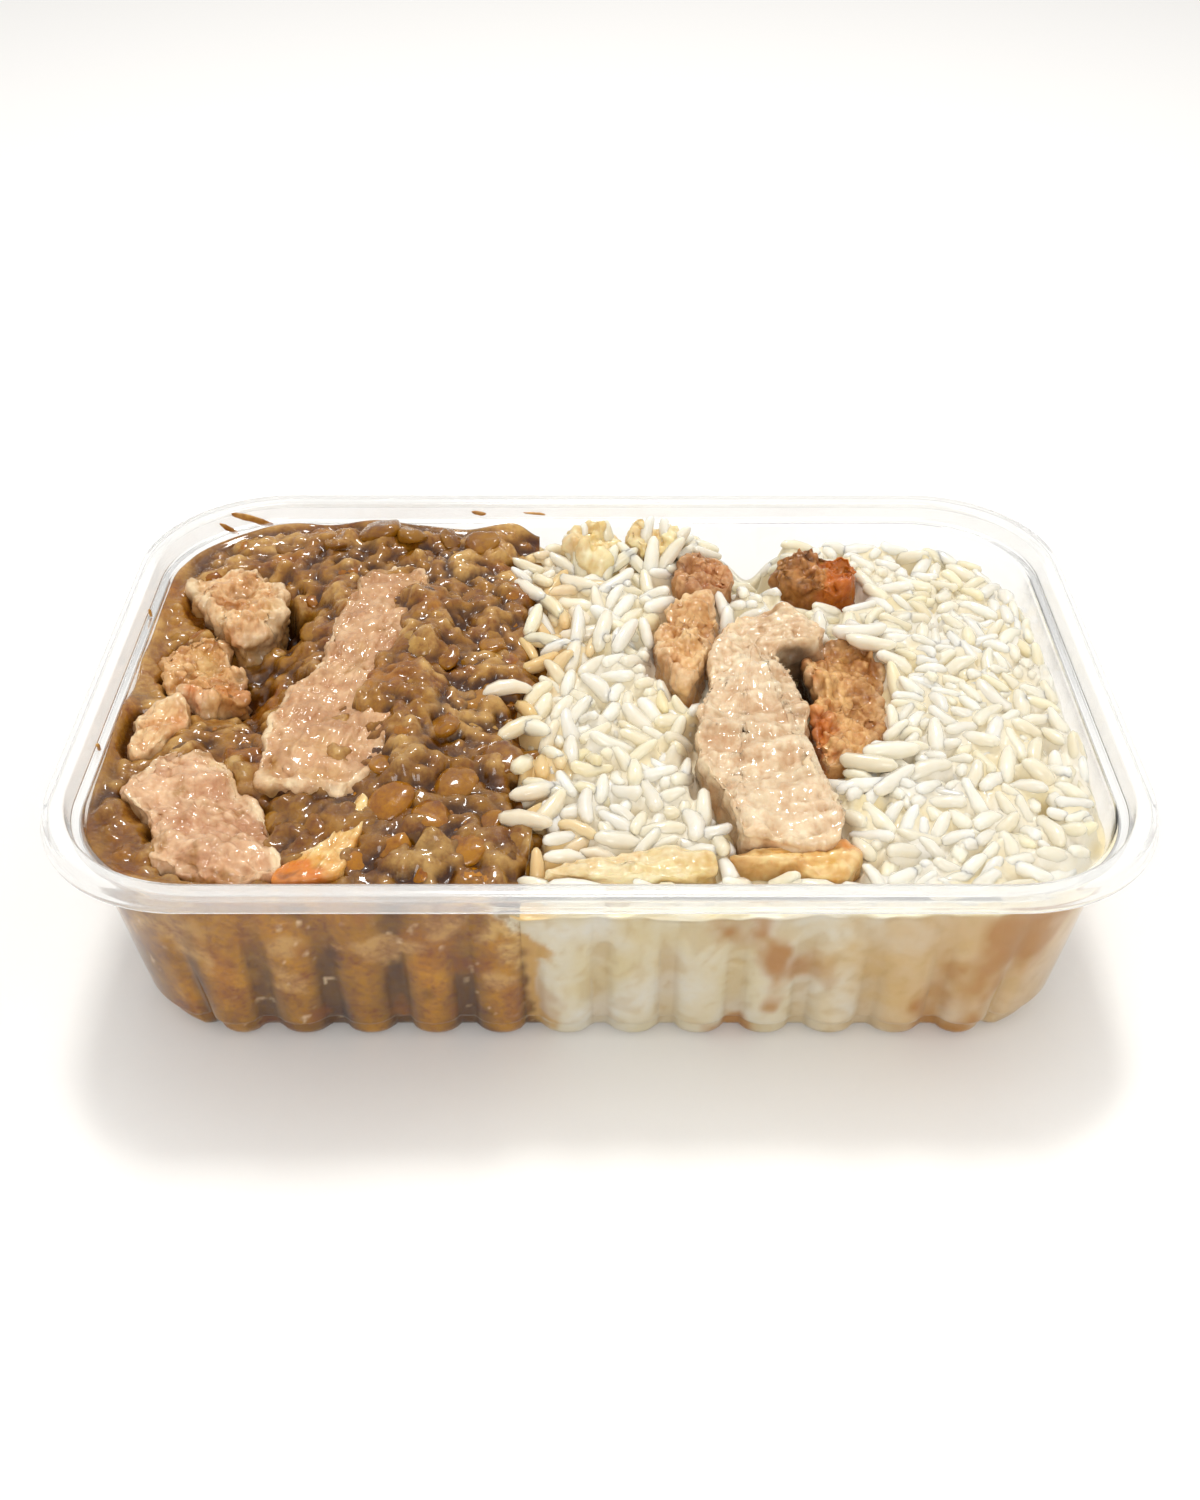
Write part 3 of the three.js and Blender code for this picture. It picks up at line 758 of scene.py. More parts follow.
def build_chunk(node, material, slot):
    """A piece of meat: its outline's rings moved along their normals by soft noise, by grain and by pits."""
    chunk = drawn_chunk(node)
    dark, light, fat, crust, grain, relief, lumps, ragged = LOOKS[node]
    seed = SEED + 31 * list(CHUNKS).index(node)
    rings, insets = chunk.rings(ragged, lumps, seed)
    normal = grid_normals(rings)
    if signed_volume(*closed_by_poles(rings)) < 0:
        normal = -normal
    away = chunk.loop - chunk.centre
    along = np.roll(chunk.loop, -1, 0) - np.roll(chunk.loop, 1, 0)
    cross = np.abs(away[:, 0] * along[:, 1] - away[:, 1] * along[:, 0])
    square = cross / np.maximum(np.linalg.norm(away, axis=1) * np.linalg.norm(along, axis=1), 1e-9)
    calm = smooth(insets.max(1) / 2.0 + 0.35)[:, None] * smooth(square * 3.0 - 0.2)[None, :]
    soft = fractal(rings, 6.0, seed + 3, 3)
    grained = fibres(rings, grain, seed + 5)
    pits = np.clip(noise(rings, 1.8, seed + 9) - 0.25, 0, 1) ** 1.5
    creases = np.abs(noise(rings * np.array([1, 1, 0.5]), 2.4, seed + 7)) ** 0.5 - 0.5
    wrinkles = np.abs(noise(rings, 1.3, seed + 8)) ** 0.6 - 0.4
    lift = relief * (1.8 * soft + 1.1 * grained - 1.2 * pits + 0.9 * creases + 0.5 * wrinkles) * calm
    at_edge = smooth(1.5 - insets / (2.0 * chunk.edge + 1.0))
    lift = lift + ragged * (0.75 * fractal(rings, 3.4, seed + 10, 4) - 0.12) * at_edge
    rings = rings + normal * lift[..., None]
    depth_from_top = (chunk.top(rings[..., 0], rings[..., 1]) - rings[..., 2]) / 3.0
    fine = 0.3 * noise(rings, 0.9, seed + 12) + 0.5 * wrinkles
    share = 0.5 + 0.45 * grained + 0.9 * fractal(rings, 6.0, seed + 11, 4)
    # darker in pits and crease lines and lighter on raised wrinkles: painted shade and painted light that
    # follow the relief
    colour = mixed(dark, light, share - 0.4 * pits + 0.4 * creases + fine)
    rind = np.exp(-(((insets - 0.9) / 1.1) ** 2)) * (0.55 + 0.9 * noise(rings, 5.0, seed + 13))
    colour = mixed(colour, FAT, fat * rind * 1.3)
    size = (chunk.high - chunk.low)[:2]
    toward = ((rings[..., :2] - chunk.centre) / size @ np.array(CRUST_SIDES.get(node, (0, 0)))) * 1.6
    spots = smooth((fractal(rings, 5.0, seed + 15, 4) - (0.5 - 1.1 * crust) + toward) * 2.2)
    spots = spots * min(1.0, 2.2 * crust)
    colour = mixed(colour, CRUST, 0.85 * spots)
    burnt = smooth(fractal(rings, 2.5, seed + 19, 3) * 2.0 + crust - 0.6)
    colour = mixed(colour, CHAR, 0.75 * spots * burnt)
    if slot != "pale_chunk":
        sauce = mixed(GRAVY, GRAVY_DARK, 0.5 + 0.8 * noise(rings, 2.2, seed + 20))
        reach = 0.75 if chunk.centre[0] < BORDER_X else 0.4
        colour = mixed(colour, sauce, reach * smooth(0.8 * depth_from_top - 0.3 + 0.4 * grained))
        colour = mixed(colour, GRAVY, 0.5 * smooth(1.6 * pits + 0.3 * noise(rings, 3.0, seed + 21)))
    if node in ("pork_slab", "pork_left_back", "pork_left_middle", "pork_left_front", "fat_strip_left"):
        back = 0.7 * smooth((rings[..., 1] - 14) / 16) if node == "pork_slab" else 0.0
        film = smooth(fractal(rings, 7.0, seed + 23, 4) * 1.6 + 0.25 * depth_from_top - 0.35 + back)
        colour = mixed(colour, GRAVY_PALE, 0.6 * film)
        streaks = smooth(2.6 * fractal(rings, 3.5, seed + 25, 4) + 0.8 * back - 0.75)
        colour = mixed(colour, GRAVY, 0.7 * streaks)
    # painted shade on the sides that face the hollow beside the hook, stronger further down
    if node in ("pork_slice_right", "pork_crusted_right"):
        off = (rings[..., :2] - np.array(HOLLOW[:2])) / np.array(HOLLOW[2:])
        shade = np.exp(-(off**2).sum(-1)) * smooth(1.5 * depth_from_top - 0.2)
        colour = mixed(colour, HOLLOW_SHADE, 1.2 * shade)
    points, faces = closed_by_poles(rings)
    tint = np.concatenate([colour.reshape(-1, 3), colour[:1].mean(1), colour[-1:].mean(1)])
    return add_piece(node + "_food", points, faces, material, (node,), tint)


# ---------------------------------------------------------------- materials

MEAT_SCATTER = (1.0, 0.72, 0.45)
RICE_SCATTER = (1.0, 0.96, 0.86)


class Graph:
    """Adds nodes to a tree, taking each input as a constant or as another node's output."""

    def __init__(self, tree):
        """Empties the tree."""
        self.tree = tree
        tree.nodes.clear()

    def add(self, kind, inputs=None, **settings):
        """A new node with its settings, and its inputs set or linked."""
        node = self.tree.nodes.new(kind)
        for key, value in settings.items():
            setattr(node, key, value)
        for key, value in (inputs or {}).items():
            if isinstance(value, bpy.types.NodeSocket):
                self.tree.links.new(value, node.inputs[key])
            else:
                node.inputs[key].default_value = value
        return node

    def maths(self, operation, first, second):
        """The outcome of a sum, a product or the like."""
        return self.add("ShaderNodeMath", {0: first, 1: second}, operation=operation).outputs[0]

    def mix(self, share, first, second, blend_type="MIX"):
        """Two colours blended by a share."""
        inputs = {0: share, 6: first, 7: second}
        return self.add("ShaderNodeMix", inputs, data_type="RGBA", blend_type=blend_type).outputs[2]

    def span(self, value, low, high, to_low=0.0, to_high=1.0):
        """A value mapped in proportion from one range to another."""
        inputs = {"Value": value, "From Min": low, "From Max": high, "To Min": to_low, "To Max": to_high}
        return self.add("ShaderNodeMapRange", inputs).outputs[0]


def group(name, inputs, outputs):
    """A node group with the given sockets, its graph, and its input and output nodes."""
    tree = bpy.data.node_groups.new(name, "ShaderNodeTree")
    for way, sockets in (("INPUT", inputs), ("OUTPUT", outputs)):
        for socket, kind in sockets.items():
            tree.interface.new_socket(socket, in_out=way, socket_type=kind)
    graph = Graph(tree)
    return tree, graph, graph.add("NodeGroupInput"), graph.add("NodeGroupOutput")


def mottle_group():
    """Lightens and darkens a colour by two sizes of noise, and gives the finer one as a height."""
    if "Mottle" in bpy.data.node_groups:
        return bpy.data.node_groups["Mottle"]
    colour, number = "NodeSocketColor", "NodeSocketFloat"
    inputs = {"Color": colour, "Shade": colour, "Scale": number, "Strength": number}
    tree, graph, given, result = group("Mottle", inputs, {"Color": colour, "Height": number})
    place = graph.add("ShaderNodeTexCoord").outputs["Object"]
    inputs = {"Vector": place, "Scale": given.outputs["Scale"], "Detail": 5.0, "Roughness": 0.62}
    fine = graph.add("ShaderNodeTexNoise", inputs)
    broad_scale = graph.maths("MULTIPLY", given.outputs["Scale"], 0.22)
    broad = graph.add("ShaderNodeTexNoise", {"Vector": place, "Scale": broad_scale, "Detail": 3.0})
    both = graph.maths("ADD", fine.outputs[0], broad.outputs[0])
    share = graph.maths("MULTIPLY", graph.span(both, 0.85, 1.3), given.outputs["Strength"])
    colour = graph.mix(share, given.outputs["Color"], given.outputs["Shade"], "MULTIPLY")
    graph.tree.links.new(colour, result.inputs["Color"])
    graph.tree.links.new(fine.outputs[0], result.inputs["Height"])
    return tree


def new_material(name):
    """An empty material and its graph."""
    material = bpy.data.materials.new(name)
    material.use_nodes = True
    return material, Graph(material.node_tree)


FOODS = {
    # material: the tone it is mottled with, grain in mm, share of mottle, roughness, relief in mm, wet coat,
    # scatter in mm and its weight, height of wrinkles in mm, and how far red, green and blue scatter
    "gravy": (linear(182, 142, 76), 1.1, 0.95, 0.28, 0.2, 0.75, 0.8, 0.06, 0.15, MEAT_SCATTER),
    "lentil_skin": (linear(168, 118, 44), 1.5, 0.85, 0.24, 0.16, 0.8, 0.8, 0.1, 0.0, MEAT_SCATTER),
    "pork": (linear(220, 170, 124), 1.0, 0.5, 0.32, 0.18, 0.75, 1.0, 0.12, 0.16, MEAT_SCATTER),
    "crusted_pork": (linear(186, 118, 56), 1.3, 0.6, 0.34, 0.3, 0.45, 0.8, 0.1, 0.14, MEAT_SCATTER),
    "fat": (linear(222, 170, 96), 1.6, 0.5, 0.26, 0.12, 0.5, 1.8, 0.3, 0.0, MEAT_SCATTER),
    "rice_grain": (linear(246, 234, 206), 2.4, 0.3, 0.22, 0.05, 0.6, 1.3, 0.7, 0.0, RICE_SCATTER),
    "rice_bed": (linear(242, 228, 196), 2.0, 0.35, 0.3, 0.1, 0.25, 1.2, 0.3, 0.0, RICE_SCATTER),
}


def food_material(name):
    """Food whose colour is painted on its points and mottled, with a fine relief and a wet coat."""
    shade, grain_mm, strength, rough, relief_mm, coat, scatter_mm, scatter, wrinkle_mm, radius = FOODS[name]
    material, graph = new_material(name)
    scale = 1 / MM / grain_mm
    tint = graph.add("ShaderNodeAttribute", attribute_name="tint").outputs["Color"]
    inputs = {"Color": tint, "Shade": (*shade, 1), "Scale": scale, "Strength": strength}
    mottle = graph.add("ShaderNodeGroup", inputs, node_tree=mottle_group())
    height = mottle.outputs["Height"]
    inputs = {"Height": height, "Distance": relief_mm * MM, "Strength": 1.0}
    bump = graph.add("ShaderNodeBump", inputs).outputs[0]
    if wrinkle_mm:
        place = graph.add("ShaderNodeTexCoord").outputs["Object"]
        inputs = {"Vector": place, "Scale": scale * 0.9, "Detail": 4.0, "Roughness": 0.6}
        ridges = graph.add("ShaderNodeTexNoise", inputs, noise_type="RIDGED_MULTIFRACTAL").outputs[0]
        inputs = {"Height": ridges, "Distance": wrinkle_mm * MM, "Strength": 1.0, "Normal": bump}
        bump = graph.add("ShaderNodeBump", inputs).outputs[0]
    wet = graph.span(height, 0.35, 0.7, rough * 0.75, min(1.0, rough * 1.4))
    inputs = {
        "Base Color": mottle.outputs["Color"], "Roughness": wet, "Normal": bump, "Coat Weight": coat,
        "Coat Roughness": 0.07, "Specular IOR Level": 0.22, "IOR": 1.42, "Subsurface Weight": scatter,
        "Subsurface Scale": scatter_mm * MM, "Subsurface Radius": radius,
    }
    shader = graph.add("ShaderNodeBsdfPrincipled", inputs)
    graph.add("ShaderNodeOutputMaterial", {"Surface": shader.outputs[0]})
    return material


def plastic_material(name, tone, clearness, haziness, ior=1.46, coat=0.0):
    """Clear plastic, a touch cloudy in places, that lets shadow rays straight through."""
    material, graph = new_material(name)
    place = graph.add("ShaderNodeTexCoord").outputs["Object"]
    haze = graph.add("ShaderNodeTexNoise", {"Vector": place, "Scale": 60.0, "Detail": 4.0}).outputs[0]
    rough = graph.span(haze, 0.4, 0.7, 0.3 * haziness, haziness)
    inputs = {
        "Base Color": (*tone, 1), "Roughness": rough, "IOR": ior, "Transmission Weight": clearness,
        "Coat Weight": coat, "Coat Roughness": 0.1,
    }
    shader = graph.add("ShaderNodeBsdfPrincipled", inputs)
    clear = graph.add("ShaderNodeBsdfTransparent", {"Color": (*np.array(tone) ** 2, 1)})
    path = graph.add("ShaderNodeLightPath").outputs["Is Shadow Ray"]
    both = graph.add("ShaderNodeMixShader", {0: path, 1: shader.outputs[0], 2: clear.outputs[0]})
    graph.add("ShaderNodeOutputMaterial", {"Surface": both.outputs[0]})
    return material


# ---------------------------------------------------------------- lentils and grains as arrays


def frames(normals, twist):
    """Two unit directions across each normal, turned about it by an angle."""
    normals = normals / np.linalg.norm(normals, axis=1, keepdims=True)
    helper = np.where(np.abs(normals[:, 2:]) < 0.9, [[0.0, 0.0, 1.0]], [[1.0, 0.0, 0.0]])
    first = np.cross(helper, normals)
    first /= np.linalg.norm(first, axis=1, keepdims=True)
    second = np.cross(normals, first)
    c, s = np.cos(twist)[:, None], np.sin(twist)[:, None]
    return first * c + second * s, second * c - first * s, normals


def repeated(template, faces, axes, centres, sizes, bend=None):
    """Copies of a template's points, sized along three axes each, and the faces of all the copies."""
    local = template[None] * sizes[:, None, :]
    if bend is not None:
        local[..., 1] += bend[:, None] * (template[None, :, 0] ** 2 - 0.35)
    points = centres[:, None, :] + sum(local[..., k : k + 1] * axes[k][:, None, :] for k in range(3))
    count, each = len(centres), len(template)
    offset = (np.arange(count) * each)[:, None, None]
    return points.reshape(-1, 3), [(part[None] + offset).reshape(-1, part.shape[1]) for part in faces]


def lens_template(around_count=10, levels=5):
    """A lentil of unit half sizes: rings with a latitude's cosine for radius and its sine for height."""
    latitude = np.radians(np.linspace(-66, 66, levels))
    turn = np.linspace(0, 2 * math.pi, around_count, endpoint=False)
    radius = np.cos(latitude)[:, None] ** 0.75
    return closed_by_poles(stack(radius * np.cos(turn), radius * np.sin(turn), np.sin(latitude)[:, None]))


def grain_template(around_count=7):
    """A grain of rice of unit half sizes along x, whose radius is one less a power of the distance."""
    along = np.array([-0.96, -0.78, -0.3, 0.3, 0.78, 0.96])[:, None]
    turn = np.linspace(0, 2 * math.pi, around_count, endpoint=False)
    radius = (1 - np.abs(along) ** 3.3) ** 0.5 * (1 - 0.1 * along)
    return closed_by_poles(stack(along, radius * np.cos(turn), radius * np.sin(turn)), reach=0.22)


def rumpled(points, push, sideways, size, seed, octaves):
    """Points moved up by push times noise, and along x and y by a share of that."""
    return points + push * fractal(points, size, seed, octaves)[:, None] * np.array([sideways, sideways, 1])


def per_copy(values, template):
    """One colour for each point of each copy."""
    return np.repeat(values, len(template), axis=0)


# ---------------------------------------------------------------- the curry bed

CURRY_HILLS = [
    ((-60, 2), (7, 14), -6), ((-58, 27), (3.5, 6), -9), ((-56, 50), (14, 6), 1), ((-40, 48), (8, 5), 1.2),
    ((-22, -10), (12, 30), -0.6),
]
CURRY_LEVEL = 36.2
BIG_LUMPS = [
    # x, y, radius, rise over the surface, and share of amber
    (-51, 46.5, 4.0, -0.2, 0.1), (-43, 48, 4.9, 0.6, 0.2), (-36.5, 46.5, 3.8, -0.3, 0.1),
    (-29, 48.5, 3.4, -0.2, 0.0), (-23, 46.5, 3.8, 0.1, 0.3), (-60, 45.5, 3.2, -0.6, 0.0),
    (-33, -33, 4.6, -0.7, 0.9), (-26, -37, 4.0, -0.6, 0.8), (-35, -23.5, 3.3, -0.8, 0.7),
    (-23, -28, 4.2, -0.8, 0.5), (-18, -36, 3.8, -0.9, 0.6), (-21, -43.5, 4.3, -1.0, 0.8),
    (-31, -44.5, 3.6, -0.9, 0.9), (-16, -20, 4.2, -0.2, 0.3), (-26, -14, 3.6, -0.9, 0.6),
    (-21, -4, 3.8, -1.0, 0.5), (-27, 6, 3.2, -1.0, 0.4), (-19, 12, 3.4, -0.9, 0.5),
    (-24, 28, 3.5, -0.8, 0.3), (-45.5, -38, 3.9, -0.9, 0.3), (-17.5, 33, 3.2, -0.8, 0.7),
]
CURRY_GRID = ((-84, -60), (4, 60), 0.35)  # two corners and the cell of the curry's height map
LENTIL_SPACINGS, LENTIL_RADII = (4.3, 5.1), (1.9, 3.1)
BIT_SPACING, BIT_RADII = 2.4, (0.8, 1.7)
GULLY = (-55.3, 21)  # the middle of the dark gully beside the rear piece on the left
WALL_SKIN = 0.3  # how far the food stays inside the tub's outer face


def over_slab(x, y, slab):
    """How much curry lies over the slab: full to the right of a wavy line, none past its back end."""
    wave = 1.6 * np.sin(y / 5.0) + 2.2 * noise(stack(x, y), 7.0, SEED + 2)
    line = slab.high[0] - 7.0 + wave + 4.5 * smooth((y - 8) / 20)
    return smooth((x - line) / 2.2) * smooth((slab.high[1] - 7 - y) / 3)


def scattered_points(low, high, spacing, rng):
    """Points of a square grid, each moved at random by up to half a cell each way."""
    x = np.arange(low[0], high[0], spacing)
    y = np.arange(low[1], high[1], spacing)
    points = np.stack(np.meshgrid(x, y, indexing="ij"), -1).reshape(-1, 2)
    return points + rng.uniform(-0.5, 0.5, points.shape) * spacing


@functools.lru_cache
def curry_surface():
    """The one curry surface that the curry and the rice beside it share."""
    return Curry()


class Curry:
    """The curry's surface as a height map with domes over sunken lentils, and the lentils that stand out."""

    def __init__(self):
        """Lays the ground, raises it over lentils and bits, roughens it, and picks what stands out."""
        rng = np.random.default_rng(SEED + 1)
        self.field = HeightMap(*CURRY_GRID)
        self.lay_ground()
        lentils = self.raise_lentils(rng)
        self.raise_bits(rng)
        self.roughen()
        self.pick_lentils(rng, *lentils)
        self.place_big_lumps(rng)
        pick = rng.choice(len(LENTIL_TONES), len(self.size), p=LENTIL_SHARES)
        self.tones = LENTIL_TONES[pick] * rng.uniform(0.86, 1.1, (len(self.size), 1))

    def lay_ground(self):
        """Mounds and noise laid over the slab, lower by the rice and under pork, and higher at the wall."""
        slab = drawn_chunk("pork_slab")
        x, y = self.field.x, self.field.y
        place = stack(x, y)
        ground = CURRY_LEVEL - 0.7 + mounds(x, y, CURRY_HILLS)
        ground = ground + 0.9 * fractal(place, 13.0, SEED + 3, 3)
        cover = over_slab(x, y, slab) * smooth((y - slab.low[1] - 4) / 5)
        on_slab = inside(x, y, slab.loop) | (x > slab.high[0] - 6) & (x < slab.high[0] + 3)
        raised = np.maximum(ground, slab.top(x, y) + 0.15)
        ground = ground + (raised - ground) * cover * on_slab
        ground = ground - 3.6 * smooth((x - border_x(y) + 5.5) / 5.0)
        at_wall = np.exp(np.clip(wall_distance(x, y, FOOD_INSET), -20, 0) / 1.3)
        ground = blurred(ground, 2.5) + (1.3 + 0.9 * noise(place, 9.0, SEED + 4)) * at_wall
        under = np.zeros(self.field.shape)
        for node in CHUNKS:
            if node != "pork_slab" and drawn_chunk(node).centre[0] < BORDER_X:
                under = np.maximum(under, inside(x, y, drawn_chunk(node).loop))
        self.clear = smooth(blurred(under, 2.5) * 2 - 0.6)
        self.field.z = ground - 2.0 * self.clear

    def raise_lentils(self, rng):
        """A tilted dome, the square root of one less distance squared, over each lentil that fits."""
        field = self.field
        spots = [scattered_points(field.low, CURRY_GRID[1], spacing, rng) for spacing in LENTIL_SPACINGS]
        spots = np.concatenate(spots)
        x, y = spots.T
        fits = (wall_distance(x, y, 7.0) < -2.2) & (x < border_x(y) + 3.0)
        fits &= field.between(x, y, self.clear) < 0.3
        fits &= ((x - GULLY[0]) / 4.0) ** 2 + ((y - GULLY[1]) / 6.5) ** 2 > 1
        spots = spots[fits]
        rng.shuffle(spots)
        x, y = spots.T
        size = rng.uniform(*LENTIL_RADII, len(spots))
        low_zone = np.exp(-(((x + 60) / 8) ** 2) - ((y - 4) / 20) ** 2)
        size = size * (1 - 0.3 * low_zone)
        half = size * rng.uniform(0.36, 0.5, len(spots))
        tilt = rng.normal(0, 0.42, (len(spots), 2))
        z = field.between(x, y) + (rng.uniform(-1.0, 0.3, len(spots)) - 0.35 * low_zone)
        for k in range(len(spots)):
            cells, dx, dy = field.near(x[k], y[k], size[k] + 1.0)
            inner = np.clip(1 - (dx**2 + dy**2) / (size[k] + 0.45) ** 2, 0, 1)
            dome = z[k] + dx * tilt[k, 0] + dy * tilt[k, 1] + (half[k] + 0.1) * inner**0.5
            field.raise_to(cells, dome, inner)
        return stack(x, y, z), size, half, tilt, low_zone

    def raise_bits(self, rng):
        """Small round domes between the lentils."""
        field = self.field
        bits = scattered_points(field.low, CURRY_GRID[1], BIT_SPACING, rng)
        bits = bits[wall_distance(bits[:, 0], bits[:, 1], 7.0) < -1.0]
        bits = bits[field.between(bits[:, 0], bits[:, 1], self.clear) < 0.5]
        for x, y in bits:
            reach = rng.uniform(*BIT_RADII)
            cells, dx, dy = field.near(x, y, reach)
            inner = np.clip(1 - (dx**2 + dy**2) / reach**2, 0, 1)
            level = field.z[cells].mean() + rng.uniform(0.0, 0.6)
            field.raise_to(cells, level + 0.5 * reach * (inner**0.5 - 0.4), inner)

    def roughen(self):
        """Fine creases, from the size of noise to a power, a dark gully, and the relief that colours use."""
        field = self.field
        x, y = field.x, field.y
        place = stack(x, y)
        grit = np.abs(noise(place, 2.1, SEED + 7)) ** 0.6 + 0.7 * np.abs(noise(place, 1.1, SEED + 8)) ** 0.7
        off_wall = smooth(wall_distance(x, y, FOOD_INSET) / -2.5)
        field.z = blurred(field.z, 0.8) + 0.42 * (grit - 0.6) * off_wall
        gully = np.exp(-(((x - GULLY[0]) / 2.0) ** 2) - ((y - GULLY[1]) / 4.6) ** 2)
        field.z = field.z - 7.0 * gully
        self.relief = field.z - blurred(field.z, 6.0)

    def pick_lentils(self, rng, centres, size, half, tilt, low_zone):
        """Keeps four in five lentils, fewer on low ground, to be seen as pieces."""
        stands = rng.random(len(centres)) < 0.8 - 0.4 * low_zone
        self.centres = (centres + np.array([0, 0, 0.3]))[stands]
        self.normals = stack(-tilt[:, 0], -tilt[:, 1], 1.0)[stands]
        self.size, self.half = size[stands], half[stands]
        self.twist = rng.uniform(0, WHOLE_TURN, stands.sum())

    def place_big_lumps(self, rng):
        """The large lumps, each at its rise over the surface and leaning a little at random."""
        x, y, self.big_size, rise, amber = np.array(BIG_LUMPS, float).T
        self.big_centres = stack(x, y, self.field.between(x, y) + rise)
        self.big_normals = np.concatenate([rng.normal(0, 0.3, (len(x), 2)), np.ones((len(x), 1))], 1)
        self.big_tones = mixed(*LUMP_TONES, amber)


def curry_colour(points, top_count, curry):
    """Gravy with painted shade in its hollows, in low places and towards the front, and painted light on its
    ridges, with its wall part darker towards the foot.
    """
    x, y, z = points.T
    relief = curry.field.between(x, y, curry.relief)
    tone = fractal(points, 6.0, SEED + 41, 4)
    # painted shade in hollows and painted light on ridges, from the relief
    colour = mixed(GRAVY_DARK, GRAVY, 0.66 + 1.2 * relief + 0.6 * tone)
    oily = fractal(points, 10.0, SEED + 44, 3)
    colour = mixed(colour, GRAVY_AMBER, 0.8 * smooth(1.3 * oily - 0.1))
    # paler patches of paste, also paler on ridges as painted light
    creamy = fractal(points, 9.0, SEED + 43, 4)
    colour = mixed(colour, GRAVY_PALE, smooth(0.7 * relief + 1.1 * creamy - 0.1))
    # painted shade towards the front
    colour = colour * (1 - 0.16 * smooth((-16 - y) / 16))[:, None]
    # painted shade in low places, such as the gully and the hole on the left
    deep = smooth((CURRY_LEVEL - 2.5 - z) / 6.0)
    colour = mixed(colour, GRAVY_DEEP_SHADE, 0.85 * deep)
    wall = np.arange(len(points)) >= top_count
    return np.where(wall[:, None], wall_colour(points, 0.0), colour)


def wall_colour(points, gap, veil=1.0):
    """Food seen through the plastic: gravy on one side, rice on the other, and a ragged change between, with
    painted light on the flutes' lobes and painted shade in their valleys and between grains.

    gap is how deep a point lies between grains, from 0 to 1, and veil multiplies the colour of the gravy.
    """
    x, y, z = points.T
    height = np.clip(z / 36, 0, 1)
    smear = fractal(points * np.array([1, 1, 0.45]), 9.0, SEED + 45, 4)
    sideways = RIM[0] - np.abs(x) < RIM[1] - np.abs(y)
    arc = np.where(sideways, y, x)
    # the flutes' relief, for painted light on the lobes and painted shade in the valleys
    lobes = flute_relief(np.where(sideways, 1, 0), arc, np.full_like(z, 9.0)) * smooth(1.35 - z / 30) / 1.2
    gravy = mixed(*WALL_GRAVY, 0.5 + 0.3 * height + 0.7 * smear + 0.6 * lobes)
    blotch = fractal(points * np.array([1, 1, 0.7]), 4.5, SEED + 48, 4)
    gravy = mixed(gravy, WALL_BLOTCH, 0.6 * smooth(2.2 * blotch - 0.2))
    gravy = mixed(gravy, GRAVY_DARK, 0.5 * smooth(-2.0 * blotch - 0.45))
    pale = smooth((fractal(points, 8.0, SEED + 49, 4) + 0.5 * height - 0.42) * 3.5)
    gravy = mixed(gravy, WALL_PALE, 0.8 * pale)
    flecks = smooth((noise(points, 1.1, SEED + 47) - 0.62) * 6) * smooth((noise(points, 9.0, SEED + 46)) * 4)
    gravy = mixed(gravy, FAT, 0.7 * flecks)
    tone = fractal(points, 7.0, SEED + 71, 4)
    rice = mixed(RICE * 0.82, RICE_YELLOW * 0.78, 0.4 + 0.9 * tone + 0.2 * gap)
    low = smooth((37 - z) / 8)
    rice = mixed(rice, WALL_TAN, 0.55 * low * smooth((x - 26) / 30 + 0.5 * tone))
    # painted shade between the grains pressed on the wall and in the flutes' valleys
    rice = mixed(rice, WALL_GAP_SHADE, 0.2 * smooth(gap * 1.2 - 0.2) + 0.3 * smooth(-lobes - 0.1))
    stains = smooth((fractal(points * np.array([1, 1, 0.6]), 11.0, SEED + 73, 4) * 1.3 - 0.1) * 2.5)
    tan = 1.3 * np.exp(-(((x - 24) / 9) ** 2)) + 0.8 * smooth((x - 34) / 14) + 0.35 * smooth((14 - z) / 10)
    rice = mixed(rice, WALL_STAIN, np.clip(0.35 + 0.65 * tan, 0, 1) * stains * low * 0.9)
    edge = (x - BORDER_X + 0.6 + 0.2 * (z - 18)) / 6 + 1.7 * fractal(points, 7.5, SEED + 75, 4)
    colour = mixed(gravy, WALL_BETWEEN, smooth(edge * 2 + 1.2)) * veil
    return mixed(colour, rice, smooth(edge * 2.6 - 0.2))


# ---------------------------------------------------------------- the rice bed

RICE_LEVEL = 34.9
RICE_HILLS = [
    ((29.5, 46), (4.5, 8), -17), ((33, 3), (3.5, 8), -9), ((62, -4), (16, 30), 1.7),
    ((0, -20), (10, 20), 0.8), ((66, 46), (22, 24), -3), ((-4, 44), (8, 8), -2),
]
RICE_GRID = ((BORDER_X - 9, -58), (86, 58), 0.5)  # two corners and the cell of the rice's height maps
RICE_SPLIT_X = 24  # where the longer grains of the middle end and the shorter ones of the right begin
RICE_PARTS = {
    # left and right end, and the shortest and longest half length of a grain
    "rice_middle": (BORDER_X - 8, RICE_SPLIT_X, 3.1, 4.7), "rice_right": (RICE_SPLIT_X, 86, 2.7, 4.3),
}
SUNK_BY = (0.9, 1.5)  # how far a settled grain sinks between the ones below it
RICE_VEIL = np.array([0.87, 0.83, 0.8])  # dims the gravy beside the rice


def rice_height(x, y):
    """The height that the loose rice is heaped up to."""
    return RICE_LEVEL + 0.5 + mounds(x, y, RICE_HILLS) + 0.7 * fractal(stack(x, y), 12.0, SEED + 61, 3)


def grain_body(u, v, half, wide):
    """A lying grain's squared thickness: one less the distance along to a power and less across squared."""
    return np.clip(1 - np.abs(u / half) ** GRAIN_POWER - (v / wide) ** 2, 0, 1)


